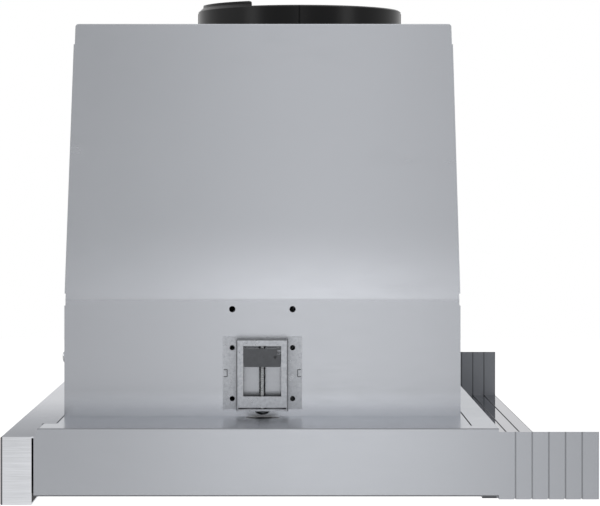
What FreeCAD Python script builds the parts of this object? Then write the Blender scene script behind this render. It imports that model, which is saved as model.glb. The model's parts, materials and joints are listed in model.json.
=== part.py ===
import FreeCAD, Part
import math
import os

# Pull-out range hood for a 30 inch wall cabinet, in millimetres.
# The origin is on the duct collar's axis, on the top panel. The front faces -Y and +Z is up.

# Housing: the upper box that stands inside the cabinet
HOUSING_WIDTH = 590.0
HOUSING_TOP_WIDTH = 432.0
HOUSING_DEPTH = 250.8
HOUSING_HEIGHT = 253.2
FOLD_HEIGHT = 73.6
FOLD_BEND_R = 4.0
COLLAR_SETBACK = 150.7
HOUSING_SHEET = 0.7
SIDE_FLANGE = 14.0
FLANGE_TOP_RELIEF = 13.8
FLANGE_FOLD_RELIEF = 3.8
FOOT_FLANGE = 12.0
TOP_BEND_R = 2.0
PANEL_FIT = 0.1
SCREW_HEIGHT = 37.0
SCREW_INSET = 7.0
SCREW_HEAD_R = 3.6
SCREW_HEAD_RISE = 1.6
SCREW_SHANK_R = 1.8
SCREW_LENGTH = 7.0
SCREW_FIT = 0.05

# Base: the shallow box under the cabinet
BASE_WIDTH = 760.0
BASE_DEPTH = 279.3
BASE_HEIGHT = 40.8
BASE_LIP = 11.3
BASE_SHEET = 0.8
BASE_CORNER_RUN = 2.4
BASE_CORNER_DROP = 5.0
BASE_HEM = 9.0
REAR_LIP = 16.0
LEDGE_FRONT_SETBACK = 10.6
EAR_SETBACK = 2.5
EAR_WIDTH = 33.5
INTAKE_MARGIN = 3.0
LEDGE_SLIT = 0.9
LEDGE_SLIT_SETBACK = 15.6
LEDGE_SLIT_END = 18.0

# Rear spacer with break-off strips
STRIP_PITCH = 10.0
STRIP_COUNT = 6
SPACER_WALL = 1.8
SPACER_TOP_DROP = 2.1
SPACER_TONGUE = 9.6
SPACER_TONGUE_INSET = 6.0
GROOVE_WIDTH = 0.8
GROOVE_DEPTH = 0.5

# Duct collar and its two damper flaps
COLLAR_R = 75.5
COLLAR_WALL = 4.5
COLLAR_HEIGHT = 22.0
COLLAR_LIP_RISE = 0.9
COLLAR_LIP_RUN = 1.2
COLLAR_RAISED_SLOPE = 2.7
COLLAR_RAISED_STEP = 2.9
COLLAR_RAISED_RISE = 4.5
COLLAR_RAISED_CORNER = 1.6
COLLAR_RAISED_START = -80.0
COLLAR_RAISED_SPAN = 50.6
COLLAR_RIB_WIDTH = 6.0
COLLAR_RIB_REACH = 0.2
COLLAR_RIB_DROP = 1.0
COLLAR_NECK_STEP = 2.3
COLLAR_TAB_COUNT = 4
COLLAR_TAB_WIDTH = 24.0
COLLAR_TAB_REACH = 6.5
COLLAR_TAB_ROOT = 1.0
COLLAR_TAB_THICKNESS = 1.9
COLLAR_FIT = 0.3
COLLAR_SEAM_WIDTH = 0.8
COLLAR_SEAM_DEPTH = 0.4
DAMPER_AXIS_Z = 6.2
DAMPER_PIN_R = 2.0
DAMPER_PIN_FIT = 0.05
DAMPER_PIN_SEAT = 2.6
DAMPER_PLATE = 1.5
DAMPER_RIM_GAP = 1.2
DAMPER_HINGE_GAP = 4.2
DAMPER_KNUCKLE_R = 3.4
DAMPER_KNUCKLE_LENGTH = 14.0
DAMPER_KNUCKLE_PITCH = 29.0
DAMPER_STOP_WIDTH = 2.6
DAMPER_STOP_HEIGHT = 2.0
DAMPER_STOP_GAP = 0.3
DAMPER_STOP_BREAK = 13.6
DAMPER_RIB = 1.2
DAMPER_RIB_HEIGHT = 3.0

# Wire inlet grommet in the top panel
INLET_X = -150.0
INLET_Y = 60.0
INLET_BORE_R = 8.0
INLET_NECK_R = 11.0
INLET_FLANGE_R = 14.0
INLET_FLANGE = 2.0

# Cabinet clamps, one on each side of the housing
BRACKET_WIDTH = 50.0
BRACKET_HEIGHT = 45.8
BRACKET_FOOT = 4.3
BRACKET_SHEET = 1.2
BRACKET_HOLE_R = 1.65
BRACKET_PITCH_Y = 38.2
BRACKET_PITCH_Z = 32.2
UPPER_HOLE_R = 2.0
UPPER_HOLE_RISE = 24.3
CLAMP_HOUSING_WIDTH = 32.4
CLAMP_HOUSING_DEPTH = 16.5
CLAMP_HOUSING_EDGE = 0.8
CLAMP_WINDOW_WIDTH = 23.8
CLAMP_WINDOW_HEIGHT = 31.7
CLAMP_WINDOW_DROP = 4.8
CLAMP_FACE_GAP = 2.3
CLAMP_TAB_RECESS = 2.0
CLAMP_BLOCK_HEIGHT = 11.6
CLAMP_BLOCK_DROP = 1.6
CLAMP_BLOCK_BACK = 6.0
CLAMP_BLOCK_FIT = 0.3
CLAMP_BLOCK_CORNER = 1.2
CLAMP_NOTCH = 2.1
CLAMP_NOTCH_HEIGHT = 2.8
CLAMP_NOTCH_DROP = 0.9
CLAMP_PIP_R = 0.9
CLAMP_PIP_DEPTH = 2.2
CLAMP_PIP_INSET = 3.5
CLAMP_PIP_DROP = 5.4
CLAMP_SCREW_R = 2.1
CLAMP_SCREW_OFFSET = 9.5
CLAMP_SCREW_FIT = 0.05
CLAMP_SCREW_TIP_GAP = 0.3
CLAMP_HEAD_R = 4.9
CLAMP_HEAD_RISE = 1.1
CLAMP_HEX_R = 3.2
CLAMP_HEX_RISE = 1.4
ACCESS_HOLE_R = 10.5
LANCE_HEIGHT = 5.0
LANCE_DEPTH = 2.0
LANCE_INSET = 0.4
LANCE_WIDTH = 0.6

# Blower
WHEEL_Y = -50.0
WHEEL_Z = -135.0
WHEEL_R = 70.0
WHEEL_INNER_R = 58.0
WHEEL_HALF = 60.0
BLADE_COUNT = 36
BLADE_SHEET = 0.8
BLADE_SWEEP = 12.0
BLADE_CAMBER = 2.6
WHEEL_RING = 2.0
WHEEL_DISC_R = 64.0
WHEEL_DISC = 2.0
HUB_R = 11.0
HUB_LENGTH = 12.0
SHAFT_R = 4.0
SHAFT_FIT = 0.05
SCROLL_START_R = 78.0
SCROLL_END_R = 108.0
SCROLL_START_ANGLE = 90.0
SCROLL_END_ANGLE = 360.0
SCROLL_POINTS = 18
SCROLL_HALF = 65.0
SCROLL_SHEET = 1.0
SCROLL_TOP = -3.2
SCROLL_EAR = 16.0
SCROLL_EAR_REACH = 14.0
INLET_EYE_R = 58.5
INLET_ROLL_R = 3.5
MOTOR_R = 40.0
MOTOR_GAP = 7.0
MOTOR_BEVEL = 6.0
SPIDER_R = 46.0
SPIDER_HOLE_R = 10.0
SPIDER_SHEET = 1.5
SPIDER_ARM = 14.0
SPIDER_REACH = 70.0
SPIDER_ARMS = 3
CAPACITOR_R = 14.0
CAPACITOR_LENGTH = 46.0
CAPACITOR_ANGLE = 300.0
CAPACITOR_OFFSET = 82.0

# Control box on the inside of the back panel
CONTROL_X = 92.0
CONTROL_WIDTH = 130.0
CONTROL_HEIGHT = 56.0
CONTROL_DEPTH = 34.0
CONTROL_TOP = -58.0
CONTROL_WALL = 1.6
CONTROL_COVER = 1.8

# Pull-out drawer with its trim
TRIM_DROP = 5.1
TRIM_HEIGHT = 40.8
TRIM_DEPTH = 18.8
TRIM_GAP = 1.2
TRIM_SHEET = 1.0
TRIM_TAIL = 23.0
TRIM_TAIL_INSET = 2.0
DRAWER_REAR_GAP = 3.5
DRAWER_SHEET = 0.8
FLOOR_LIFT = 0.6
REAR_WALL_HEIGHT = 20.0
VISOR_OVERLAP = 8.0
LAMP_PANEL = 56.0
DRAWER_TRAVEL = 160.0

# Telescopic rails
RAIL_WIDTH = 12.7
RAIL_HEIGHT = 28.0
RAIL_SHEET = 1.2
RAIL_LENGTH = 240.0
RAIL_SETBACK = 8.0
RAIL_DROP = 22.8
RAIL_PLAY = 0.4
RAIL_REACH = 9.5

# Grease filters and their latches
FILTER_SIDE_MARGIN = 18.5
FILTER_REAR_MARGIN = 19.0
FILTER_HEIGHT = 9.0
FILTER_SHEET = 0.8
FILTER_PLAY = 0.5
FILTER_BAR = 16.0
FILTER_RIM = 10.0
FILTER_LATCH_ZONE = 30.0
MESH_HEIGHT = 6.0
MESH_PLAY = 0.3
LUG_WIDTH = 20.0
LUG_LENGTH = 4.0
LUG_PITCH = 200.0
LUG_GAP = 0.3
LATCH_TRAVEL = 5.0
LATCH_WIDTH = 44.0
LATCH_DEPTH = 18.0
LATCH_SHEET = 1.5
LATCH_SETBACK = 2.0
LATCH_GAP = 0.3
TONGUE_WIDTH = 16.0
TONGUE_LENGTH = 3.0
CUP_WIDTH = 26.0
CUP_DEPTH = 9.0
CUP_SETBACK = 8.0
CUP_WALL = 1.2

# Lamps and slide switches in the drawer's front panel
LAMP_X = 240.0
LAMP_R = 22.0
LAMP_FLANGE_R = 26.5
LAMP_FLANGE = 1.5
LAMP_HEIGHT = 15.0
LAMP_FIT = 0.3
LENS_R = 19.0
LENS_THICKNESS = 1.4
LENS_RECESS = 2.0
LENS_FIT = 0.05
SWITCH_X = 120.0
SWITCH_WIDTH = 64.0
SWITCH_DEPTH = 16.0
SWITCH_HEIGHT = 14.0
SWITCH_BEZEL = 1.5
SWITCH_BEZEL_EDGE = 3.0
SWITCH_FIT = 0.3
SLIDER_WIDTH = 8.0
SLIDER_DEPTH = 5.0
SLIDER_RISE = 2.5
SLIDER_ROOT = 5.0
SLIDER_FIT = 0.3
SLIDER_BEVEL = 0.8
SLIDER_WALL = 4.0
FAN_TRAVEL = 21.0
LIGHT_TRAVEL = 9.0

# Places that follow from the sizes above
LEDGE_Z = -HOUSING_HEIGHT
FOLD_Z = LEDGE_Z + FOLD_HEIGHT
HOUSING_FRONT = -COLLAR_SETBACK
HOUSING_BACK = HOUSING_FRONT + HOUSING_DEPTH
PANEL_FRONT = HOUSING_FRONT + HOUSING_SHEET
PANEL_BACK = HOUSING_BACK - HOUSING_SHEET
HALF_FOOT = HOUSING_WIDTH / 2
HALF_TOP = HOUSING_TOP_WIDTH / 2
LEAN = (HALF_FOOT - HALF_TOP) / -FOLD_Z
LEAN_RUN = HOUSING_SHEET * math.hypot(1.0, LEAN)
PANEL_TOP = -HOUSING_SHEET
HALF_BASE = BASE_WIDTH / 2
HALF_BASE_INSIDE = HALF_BASE - BASE_SHEET
BASE_FRONT = HOUSING_FRONT - BASE_LIP
BASE_BACK = BASE_FRONT + BASE_DEPTH
BASE_BOTTOM = LEDGE_Z - BASE_HEIGHT
BRACKET_Y = (HOUSING_FRONT + HOUSING_BACK) / 2
BRACKET_BOTTOM = LEDGE_Z + BRACKET_FOOT
BRACKET_MID = BRACKET_BOTTOM + BRACKET_HEIGHT / 2
CLAMP_SCREW_X = HALF_FOOT + CLAMP_SCREW_OFFSET
COLLAR_INNER_R = COLLAR_R - COLLAR_WALL
COLLAR_NECK_R = COLLAR_R - COLLAR_NECK_STEP
TRIM_TOP = LEDGE_Z - TRIM_DROP
TRIM_BOTTOM = TRIM_TOP - TRIM_HEIGHT
TRIM_BACK = BASE_FRONT - TRIM_GAP
TRIM_FRONT = TRIM_BACK - TRIM_DEPTH
DRAWER_DEPTH = BASE_DEPTH + TRIM_GAP - REAR_LIP - DRAWER_REAR_GAP
DRAWER_BACK = TRIM_BACK + DRAWER_DEPTH
HALF_DRAWER = HALF_BASE_INSIDE - RAIL_WIDTH
VISOR_TOP = TRIM_TOP - TRIM_SHEET
VISOR_BOTTOM = VISOR_TOP - DRAWER_SHEET
FLOOR_BOTTOM = BASE_BOTTOM + FLOOR_LIFT
FLOOR_TOP = FLOOR_BOTTOM + DRAWER_SHEET
RAIL_Z = LEDGE_Z - RAIL_DROP
RAIL_FRONT = TRIM_BACK + RAIL_SETBACK
FILTER_FRONT = TRIM_BACK + LAMP_PANEL
FILTER_BACK = DRAWER_BACK - FILTER_REAR_MARGIN
FILTER_WIDTH = HALF_DRAWER - FILTER_SIDE_MARGIN - FILTER_BAR / 2
FILTER_X = (FILTER_WIDTH + FILTER_BAR) / 2
FILTER_TOP = FLOOR_BOTTOM + FILTER_HEIGHT
LAMP_Y = TRIM_BACK + LAMP_PANEL / 2
SWITCH_LEFT = SWITCH_X - SWITCH_WIDTH / 2

# Shortest length that counts when edges are picked for rounding
TINY = 0.01

V = FreeCAD.Vector
X_AXIS = V(1, 0, 0)
Y_AXIS = V(0, 1, 0)
Z_AXIS = V(0, 0, 1)


# Building blocks
def box(x, y, z):
    """A block between pairs of limits along the three axes."""
    return Part.makeBox(x[1] - x[0], y[1] - y[0], z[1] - z[0], V(x[0], y[0], z[0]))


def about(middle, size):
    """The pair of limits of a length centred on a place."""
    return (middle - size / 2, middle + size / 2)


def face_of(points):
    return Part.Face(Part.makePolygon(points + [points[0]]))


def prism_along_y(outline, y):
    """A straight-sided outline of (x, z) points, extruded between two Y limits."""
    return face_of([V(px, y[0], pz) for px, pz in outline]).extrude(V(0, y[1] - y[0], 0))


def prism_along_x(outline, x):
    """A straight-sided outline of (y, z) points, extruded between two X limits."""
    return face_of([V(x[0], py, pz) for py, pz in outline]).extrude(V(x[1] - x[0], 0, 0))


def prism_along_z(outline, z):
    """A straight-sided outline of (x, y) points, extruded between two Z limits."""
    return face_of([V(px, py, z[0]) for px, py in outline]).extrude(V(0, 0, z[1] - z[0]))


def rod_z(radius, place, z):
    return Part.makeCylinder(radius, z[1] - z[0], V(place[0], place[1], z[0]), Z_AXIS)


def rod_x(radius, place, x):
    return Part.makeCylinder(radius, x[1] - x[0], V(x[0], place[0], place[1]), X_AXIS)


def rod_y(radius, place, y):
    return Part.makeCylinder(radius, y[1] - y[0], V(place[0], y[0], place[1]), Y_AXIS)


def turned(profile, place=(0.0, 0.0)):
    """A body turned about a vertical axis from an outline of (radius, z) points."""
    outline = face_of([V(place[0] + r, place[1], z) for r, z in profile])
    return outline.revolve(V(place[0], place[1], 0), Z_AXIS, 360)


def turned_x(profile, place):
    """A body turned about an axis along X from an outline of (x, radius) points."""
    outline = face_of([V(x, place[0] + r, place[1]) for x, r in profile])
    return outline.revolve(V(0, place[0], place[1]), X_AXIS, 360)


def mirrored(shape):
    return shape.mirror(V(0, 0, 0), X_AXIS)


def save(name, shape):
    shape.removeSplitter().exportStep("parts/" + name + ".step")


def save_pair(name, shape):
    """Saves a right-hand piece and its mirror image on the left."""
    save(name + "_right", shape)
    save(name + "_left", mirrored(shape))


# Housing
def outer_x(z):
    """Half the housing's width over its side panels at a height."""
    return HALF_FOOT - max(0.0, z - FOLD_Z) * LEAN


def inner_x(z):
    return min(HALF_FOOT - HOUSING_SHEET, outer_x(z) - LEAN_RUN)


def bracket_places():
    """The four holes in a clamp bracket, as (y, z)."""
    for y in about(BRACKET_Y, BRACKET_PITCH_Y):
        for z in about(BRACKET_MID, BRACKET_PITCH_Z):
            yield y, z


def round_top_bends(sheet):
    """Rounds the bends where the top panel turns down at the front and the back."""
    span = (-HALF_FOOT, HALF_FOOT)
    for face, inward in ((PANEL_FRONT, 1), (PANEL_BACK, -1)):
        centre = face + inward * TOP_BEND_R
        corner = box(span, sorted((face, centre)), (-TOP_BEND_R, 0.0))
        sheet = sheet.cut(corner.cut(rod_x(TOP_BEND_R, (centre, -TOP_BEND_R), span)))
    return sheet


def edges_along_y(shape, x, z):
    """The edges of a shape that run along Y at a place."""
    near = FreeCAD.BoundBox(x - TINY, -BASE_DEPTH, z - TINY, x + TINY, BASE_DEPTH, z + TINY)
    return [e for e in shape.Edges if near.isInside(e.BoundBox)]


def housing_side():
    """Folded side sheet: upright below, leaning in above, with flanges over the front and back."""
    inner_fold = FOLD_Z + (HOUSING_SHEET - LEAN_RUN) / LEAN
    web = prism_along_y(
        [
            (HALF_FOOT, LEDGE_Z),
            (HALF_FOOT, FOLD_Z),
            (outer_x(PANEL_TOP), PANEL_TOP),
            (inner_x(PANEL_TOP), PANEL_TOP),
            (HALF_FOOT - HOUSING_SHEET, inner_fold),
            (HALF_FOOT - HOUSING_SHEET, LEDGE_Z),
        ],
        (PANEL_FRONT, PANEL_BACK),
    )
    web = web.makeFillet(FOLD_BEND_R, edges_along_y(web, HALF_FOOT, FOLD_Z))
    inside = edges_along_y(web, HALF_FOOT - HOUSING_SHEET, inner_fold)
    web = web.makeFillet(FOLD_BEND_R - HOUSING_SHEET, inside)
    pieces = []
    spans = ((LEDGE_Z, FOLD_Z - FLANGE_FOLD_RELIEF), (FOLD_Z + FLANGE_FOLD_RELIEF, -FLANGE_TOP_RELIEF))
    for low, high in spans:
        band = [(outer_x(low), low), (outer_x(high), high)]
        band += [(outer_x(high) - SIDE_FLANGE, high), (outer_x(low) - SIDE_FLANGE, low)]
        pieces.append(prism_along_y(band, (HOUSING_FRONT, PANEL_FRONT)))
        pieces.append(prism_along_y(band, (PANEL_BACK, HOUSING_BACK)))
    corner = HOUSING_SHEET + FOOT_FLANGE + PANEL_FIT
    pieces.append(
        box(
            (HALF_FOOT - FOOT_FLANGE, HALF_FOOT - HOUSING_SHEET),
            (PANEL_FRONT + corner, PANEL_BACK - corner),
            (LEDGE_Z, LEDGE_Z + HOUSING_SHEET),
        )
    )
    side = round_top_bends(web.multiFuse(pieces))
    through = (HALF_FOOT - 2 * HOUSING_SHEET, HALF_FOOT + HOUSING_SHEET)
    for place in bracket_places():
        side = side.cut(rod_x(BRACKET_HOLE_R, place, through))
    upper = BRACKET_MID + BRACKET_PITCH_Z / 2 + UPPER_HOLE_RISE
    for y in about(BRACKET_Y, BRACKET_PITCH_Y):
        side = side.cut(rod_x(UPPER_HOLE_R, (y, upper), through))
    hole = (HALF_FOOT - SCREW_INSET, LEDGE_Z + SCREW_HEIGHT)
    return side.cut(rod_y(SCREW_SHANK_R + SCREW_FIT, hole, (HOUSING_FRONT, PANEL_FRONT)))


def housing_panel(face, inward):
    """Front or back panel between the side sheets, with a foot flange turned inward."""
    half_foot = inner_x(LEDGE_Z) - PANEL_FIT
    half_top = inner_x(PANEL_TOP) - PANEL_FIT
    fold = FOLD_Z - (LEAN_RUN - HOUSING_SHEET) - PANEL_FIT
    outline = [(-half_foot, LEDGE_Z), (half_foot, LEDGE_Z), (half_foot, fold), (half_top, PANEL_TOP)]
    outline += [(-half_top, PANEL_TOP), (-half_foot, fold)]
    sheet = sorted((face, face + inward * HOUSING_SHEET))
    foot = sorted((face, face + inward * FOOT_FLANGE))
    flange = box((-half_foot, half_foot), foot, (LEDGE_Z, LEDGE_Z + HOUSING_SHEET))
    return round_top_bends(prism_along_y(outline, sheet).fuse(flange))


def screw_places():
    """The screws that hold the side flanges to the front panel, as (x, z)."""
    for side in (-1, 1):
        yield side * (HALF_FOOT - SCREW_INSET), LEDGE_Z + SCREW_HEIGHT


def housing_front():
    panel = housing_panel(PANEL_FRONT, 1)
    through = (PANEL_FRONT, PANEL_FRONT + HOUSING_SHEET)
    for place in screw_places():
        panel = panel.cut(rod_y(SCREW_SHANK_R + SCREW_FIT, place, through))
    return panel


def housing_screws():
    """Two pan-head screws through the front flanges."""
    screws = []
    for place in screw_places():
        head = rod_y(SCREW_HEAD_R, place, (HOUSING_FRONT - SCREW_HEAD_RISE, HOUSING_FRONT))
        shank = rod_y(SCREW_SHANK_R, place, (HOUSING_FRONT, HOUSING_FRONT + SCREW_LENGTH))
        screws.append(head.fuse(shank).removeSplitter())
    return Part.makeCompound(screws)


def top_panel():
    plate = box((-HALF_TOP, HALF_TOP), (PANEL_FRONT, PANEL_BACK), (PANEL_TOP, 0.0))
    half = inner_x(-FOOT_FLANGE) - LEAN * FOOT_FLANGE
    front = PANEL_FRONT + HOUSING_SHEET
    back = PANEL_BACK - HOUSING_SHEET
    skirts = [
        box((-half, half), (front, front + HOUSING_SHEET), (-FOOT_FLANGE, 0.0)),
        box((-half, half), (back - HOUSING_SHEET, back), (-FOOT_FLANGE, 0.0)),
    ]
    plate = round_top_bends(plate.multiFuse(skirts))
    plate = plate.cut(rod_z(COLLAR_NECK_R + COLLAR_FIT, (0, 0), (PANEL_TOP, 0.0)))
    return plate.cut(rod_z(INLET_NECK_R + SHAFT_FIT, (INLET_X, INLET_Y), (PANEL_TOP, 0.0)))


# Duct collar
def duct_collar():
    """Ring with a raised stretch of rim, two side ribs, a stop for the flaps and bayonet tabs below."""
    tab_top = PANEL_TOP - SHAFT_FIT
    neck_bottom = tab_top - COLLAR_TAB_THICKNESS
    lip_top = COLLAR_HEIGHT + COLLAR_LIP_RISE
    ring = turned(
        [
            (COLLAR_INNER_R, neck_bottom),
            (COLLAR_NECK_R, neck_bottom),
            (COLLAR_NECK_R, 0.0),
            (COLLAR_R, 0.0),
            (COLLAR_R, COLLAR_HEIGHT),
            (COLLAR_R - COLLAR_LIP_RUN, lip_top),
            (COLLAR_INNER_R, lip_top),
        ]
    )
    stop_top = DAMPER_AXIS_Z - DAMPER_PLATE / 2 - DAMPER_STOP_GAP
    stop_z = (stop_top - DAMPER_STOP_HEIGHT, stop_top)
    stop_r = COLLAR_INNER_R - DAMPER_STOP_WIDTH
    stop = rod_z(COLLAR_R - COLLAR_LIP_RUN, (0, 0), stop_z).cut(rod_z(stop_r, (0, 0), stop_z))
    stop = stop.cut(box((-COLLAR_INNER_R, COLLAR_INNER_R), about(0, DAMPER_STOP_BREAK), stop_z))
    raised_top = COLLAR_HEIGHT + COLLAR_RAISED_RISE
    section = [
        (COLLAR_INNER_R, COLLAR_HEIGHT),
        (COLLAR_R, COLLAR_HEIGHT),
        (COLLAR_R - COLLAR_RAISED_STEP, COLLAR_HEIGHT + COLLAR_RAISED_SLOPE),
        (COLLAR_R - COLLAR_RAISED_STEP, raised_top),
        (COLLAR_INNER_R, raised_top),
    ]
    raised = face_of([V(r, 0, z) for r, z in section]).revolve(V(0, 0, 0), Z_AXIS, COLLAR_RAISED_SPAN)
    top_edges = [e for e in raised.Edges if e.BoundBox.ZMin > raised_top - TINY]
    end_edges = [e for e in top_edges if isinstance(e.Curve, Part.Line)]
    raised = raised.makeFillet(COLLAR_RAISED_CORNER, end_edges)
    raised.rotate(V(0, 0, 0), Z_AXIS, COLLAR_RAISED_START)
    rib_y = COLLAR_R + COLLAR_RIB_REACH
    rib_z = (0.0, COLLAR_HEIGHT - COLLAR_RIB_DROP)
    rib = box(about(0, COLLAR_RIB_WIDTH), (-rib_y, rib_y), rib_z).cut(rod_z(COLLAR_NECK_R, (0, 0), rib_z))
    tabs = []
    tab_x = (COLLAR_INNER_R + COLLAR_TAB_ROOT, COLLAR_NECK_R + COLLAR_TAB_REACH)
    for turn in range(COLLAR_TAB_COUNT):
        tab = box(tab_x, about(0, COLLAR_TAB_WIDTH), (neck_bottom, tab_top))
        tab.rotate(V(0, 0, 0), Z_AXIS, 360.0 / COLLAR_TAB_COUNT * turn)
        tabs.append(tab)
    ring = ring.multiFuse([stop, raised, rib] + tabs)
    ring = ring.cut(rod_z(stop_r, (0, 0), (neck_bottom, 0.0)))
    pin_half = COLLAR_INNER_R + DAMPER_PIN_SEAT
    ring = ring.cut(rod_x(DAMPER_PIN_R + DAMPER_PIN_FIT, (0, DAMPER_AXIS_Z), (-pin_half, pin_half)))
    for side in (-1, 1):
        seam = sorted((side * COLLAR_R, side * (COLLAR_R - COLLAR_SEAM_DEPTH)))
        ring = ring.cut(box(seam, about(0, COLLAR_SEAM_WIDTH), (COLLAR_SEAM_WIDTH, COLLAR_HEIGHT)))
    return ring


def damper_pin():
    half = COLLAR_INNER_R + DAMPER_PIN_SEAT - DAMPER_PIN_FIT
    return rod_x(DAMPER_PIN_R, (0, DAMPER_AXIS_Z), (-half, half))


def damper_flap(side, knuckle_start):
    """Half disc with a stiffening rib and two knuckles on the shared pin; side is the way it points in Y."""
    radius = COLLAR_INNER_R - DAMPER_RIM_GAP
    plate_z = about(DAMPER_AXIS_Z, DAMPER_PLATE)
    plate = rod_z(radius, (0, 0), plate_z)
    keep = sorted((side * DAMPER_HINGE_GAP, side * radius))
    plate = plate.common(box((-radius, radius), keep, plate_z))
    reach = math.sqrt(radius ** 2 - DAMPER_HINGE_GAP ** 2) / 2
    rib_y = sorted((side * DAMPER_HINGE_GAP, side * (radius - DAMPER_KNUCKLE_R * 2)))
    rib = box(about(0, DAMPER_RIB), rib_y, (DAMPER_AXIS_Z - DAMPER_RIB_HEIGHT, DAMPER_AXIS_Z))
    pieces = [rib]
    for place in (knuckle_start, knuckle_start + 2 * DAMPER_KNUCKLE_PITCH):
        span = about(place - reach + DAMPER_KNUCKLE_PITCH / 4, DAMPER_KNUCKLE_LENGTH)
        pieces.append(rod_x(DAMPER_KNUCKLE_R, (0, DAMPER_AXIS_Z), span))
        web = sorted((0.0, side * (DAMPER_HINGE_GAP + DAMPER_KNUCKLE_R)))
        pieces.append(box(span, web, plate_z))
    flap = plate.multiFuse(pieces)
    bore = rod_x(DAMPER_PIN_R + DAMPER_PIN_FIT, (0, DAMPER_AXIS_Z), (-radius, radius))
    return flap.cut(bore)


def inlet_grommet():
    return turned(
        [
            (INLET_BORE_R, PANEL_TOP - INLET_FLANGE),
            (INLET_FLANGE_R, PANEL_TOP - INLET_FLANGE),
            (INLET_FLANGE_R, PANEL_TOP),
            (INLET_NECK_R, PANEL_TOP),
            (INLET_NECK_R, 0.0),
            (INLET_FLANGE_R, 0.0),
            (INLET_FLANGE_R - INLET_FLANGE / 2, INLET_FLANGE),
            (INLET_BORE_R, INLET_FLANGE),
        ],
        (INLET_X, INLET_Y),
    )


# Base
def base_top():
    """Ledge plate round the housing's foot, with the intake, the clamp access holes and a rear fold slit."""
    ledge = (LEDGE_Z - BASE_SHEET, LEDGE_Z)
    middle = BASE_FRONT + LEDGE_FRONT_SETBACK
    ear = BASE_FRONT + EAR_SETBACK
    ear_x = HALF_BASE - EAR_WIDTH
    outline = [(-HALF_BASE_INSIDE, ear), (-ear_x, ear), (-ear_x, middle), (ear_x, middle), (ear_x, ear)]
    outline += [(HALF_BASE_INSIDE, ear), (HALF_BASE_INSIDE, BASE_BACK), (-HALF_BASE_INSIDE, BASE_BACK)]
    plate = prism_along_z(outline, ledge)
    margin = FOOT_FLANGE + INTAKE_MARGIN
    half = HALF_FOOT - margin
    plate = plate.cut(box((-half, half), (PANEL_FRONT + margin, PANEL_BACK - margin), ledge))
    for side in (-1, 1):
        plate = plate.cut(rod_z(ACCESS_HOLE_R, (side * CLAMP_SCREW_X, BRACKET_Y), ledge))
    slit_half = HALF_BASE - LEDGE_SLIT_END
    slit_y = BASE_BACK - LEDGE_SLIT_SETBACK
    return plate.cut(box((-slit_half, slit_half), (slit_y, slit_y + LEDGE_SLIT), ledge))


def base_side():
    """Side wall with a bevelled front top corner and a hem turned in along its bottom edge."""
    outline = [(BASE_FRONT, BASE_BOTTOM), (BASE_FRONT, LEDGE_Z - BASE_CORNER_DROP)]
    outline += [(BASE_FRONT + BASE_CORNER_RUN, LEDGE_Z), (BASE_BACK, LEDGE_Z), (BASE_BACK, BASE_BOTTOM)]
    wall = prism_along_x(outline, (HALF_BASE_INSIDE, HALF_BASE))
    hem = box(
        (HALF_BASE_INSIDE - BASE_HEM, HALF_BASE_INSIDE),
        (BASE_FRONT, BASE_BACK - REAR_LIP),
        (BASE_BOTTOM, BASE_BOTTOM + BASE_SHEET),
    )
    return wall.fuse(hem)


def base_rear():
    wall = box(
        (-HALF_BASE_INSIDE, HALF_BASE_INSIDE),
        (BASE_BACK - BASE_SHEET, BASE_BACK),
        (BASE_BOTTOM, LEDGE_Z - BASE_SHEET),
    )
    lip = box(
        (-HALF_BASE_INSIDE, HALF_BASE_INSIDE),
        (BASE_BACK - REAR_LIP, BASE_BACK),
        (BASE_BOTTOM, BASE_BOTTOM + BASE_SHEET),
    )
    return wall.fuse(lip)


def channel_outline(inset):
    """U-shaped section of the rear spacer, thinned by an inset on both faces."""
    outer = HALF_BASE - inset
    inner = HALF_BASE - SPACER_WALL + inset
    bottom = BASE_BOTTOM - SPACER_WALL + inset
    floor = BASE_BOTTOM - inset
    top = LEDGE_Z - SPACER_TOP_DROP
    outline = [(-outer, top), (-outer, bottom), (outer, bottom), (outer, top)]
    return outline + [(inner, top), (inner, floor), (-inner, floor), (-inner, top)]


def rear_spacer():
    """Channel that fills the space to the wall, scored so that strips snap off to shorten it."""
    pieces = []
    for strip in range(STRIP_COUNT):
        start = BASE_BACK + strip * STRIP_PITCH
        score = start + STRIP_PITCH - GROOVE_WIDTH
        last = strip == STRIP_COUNT - 1
        pieces.append(prism_along_y(channel_outline(0.0), (start, start + STRIP_PITCH if last else score)))
        if not last:
            pieces.append(prism_along_y(channel_outline(GROOVE_DEPTH), (score, start + STRIP_PITCH)))
    half = HALF_BASE - SPACER_TONGUE_INSET
    tongue_y = (BASE_BACK - SPACER_TONGUE, BASE_BACK)
    tongue = box((-half, half), tongue_y, (BASE_BOTTOM - SPACER_WALL, BASE_BOTTOM))
    return tongue.multiFuse(pieces)


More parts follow.
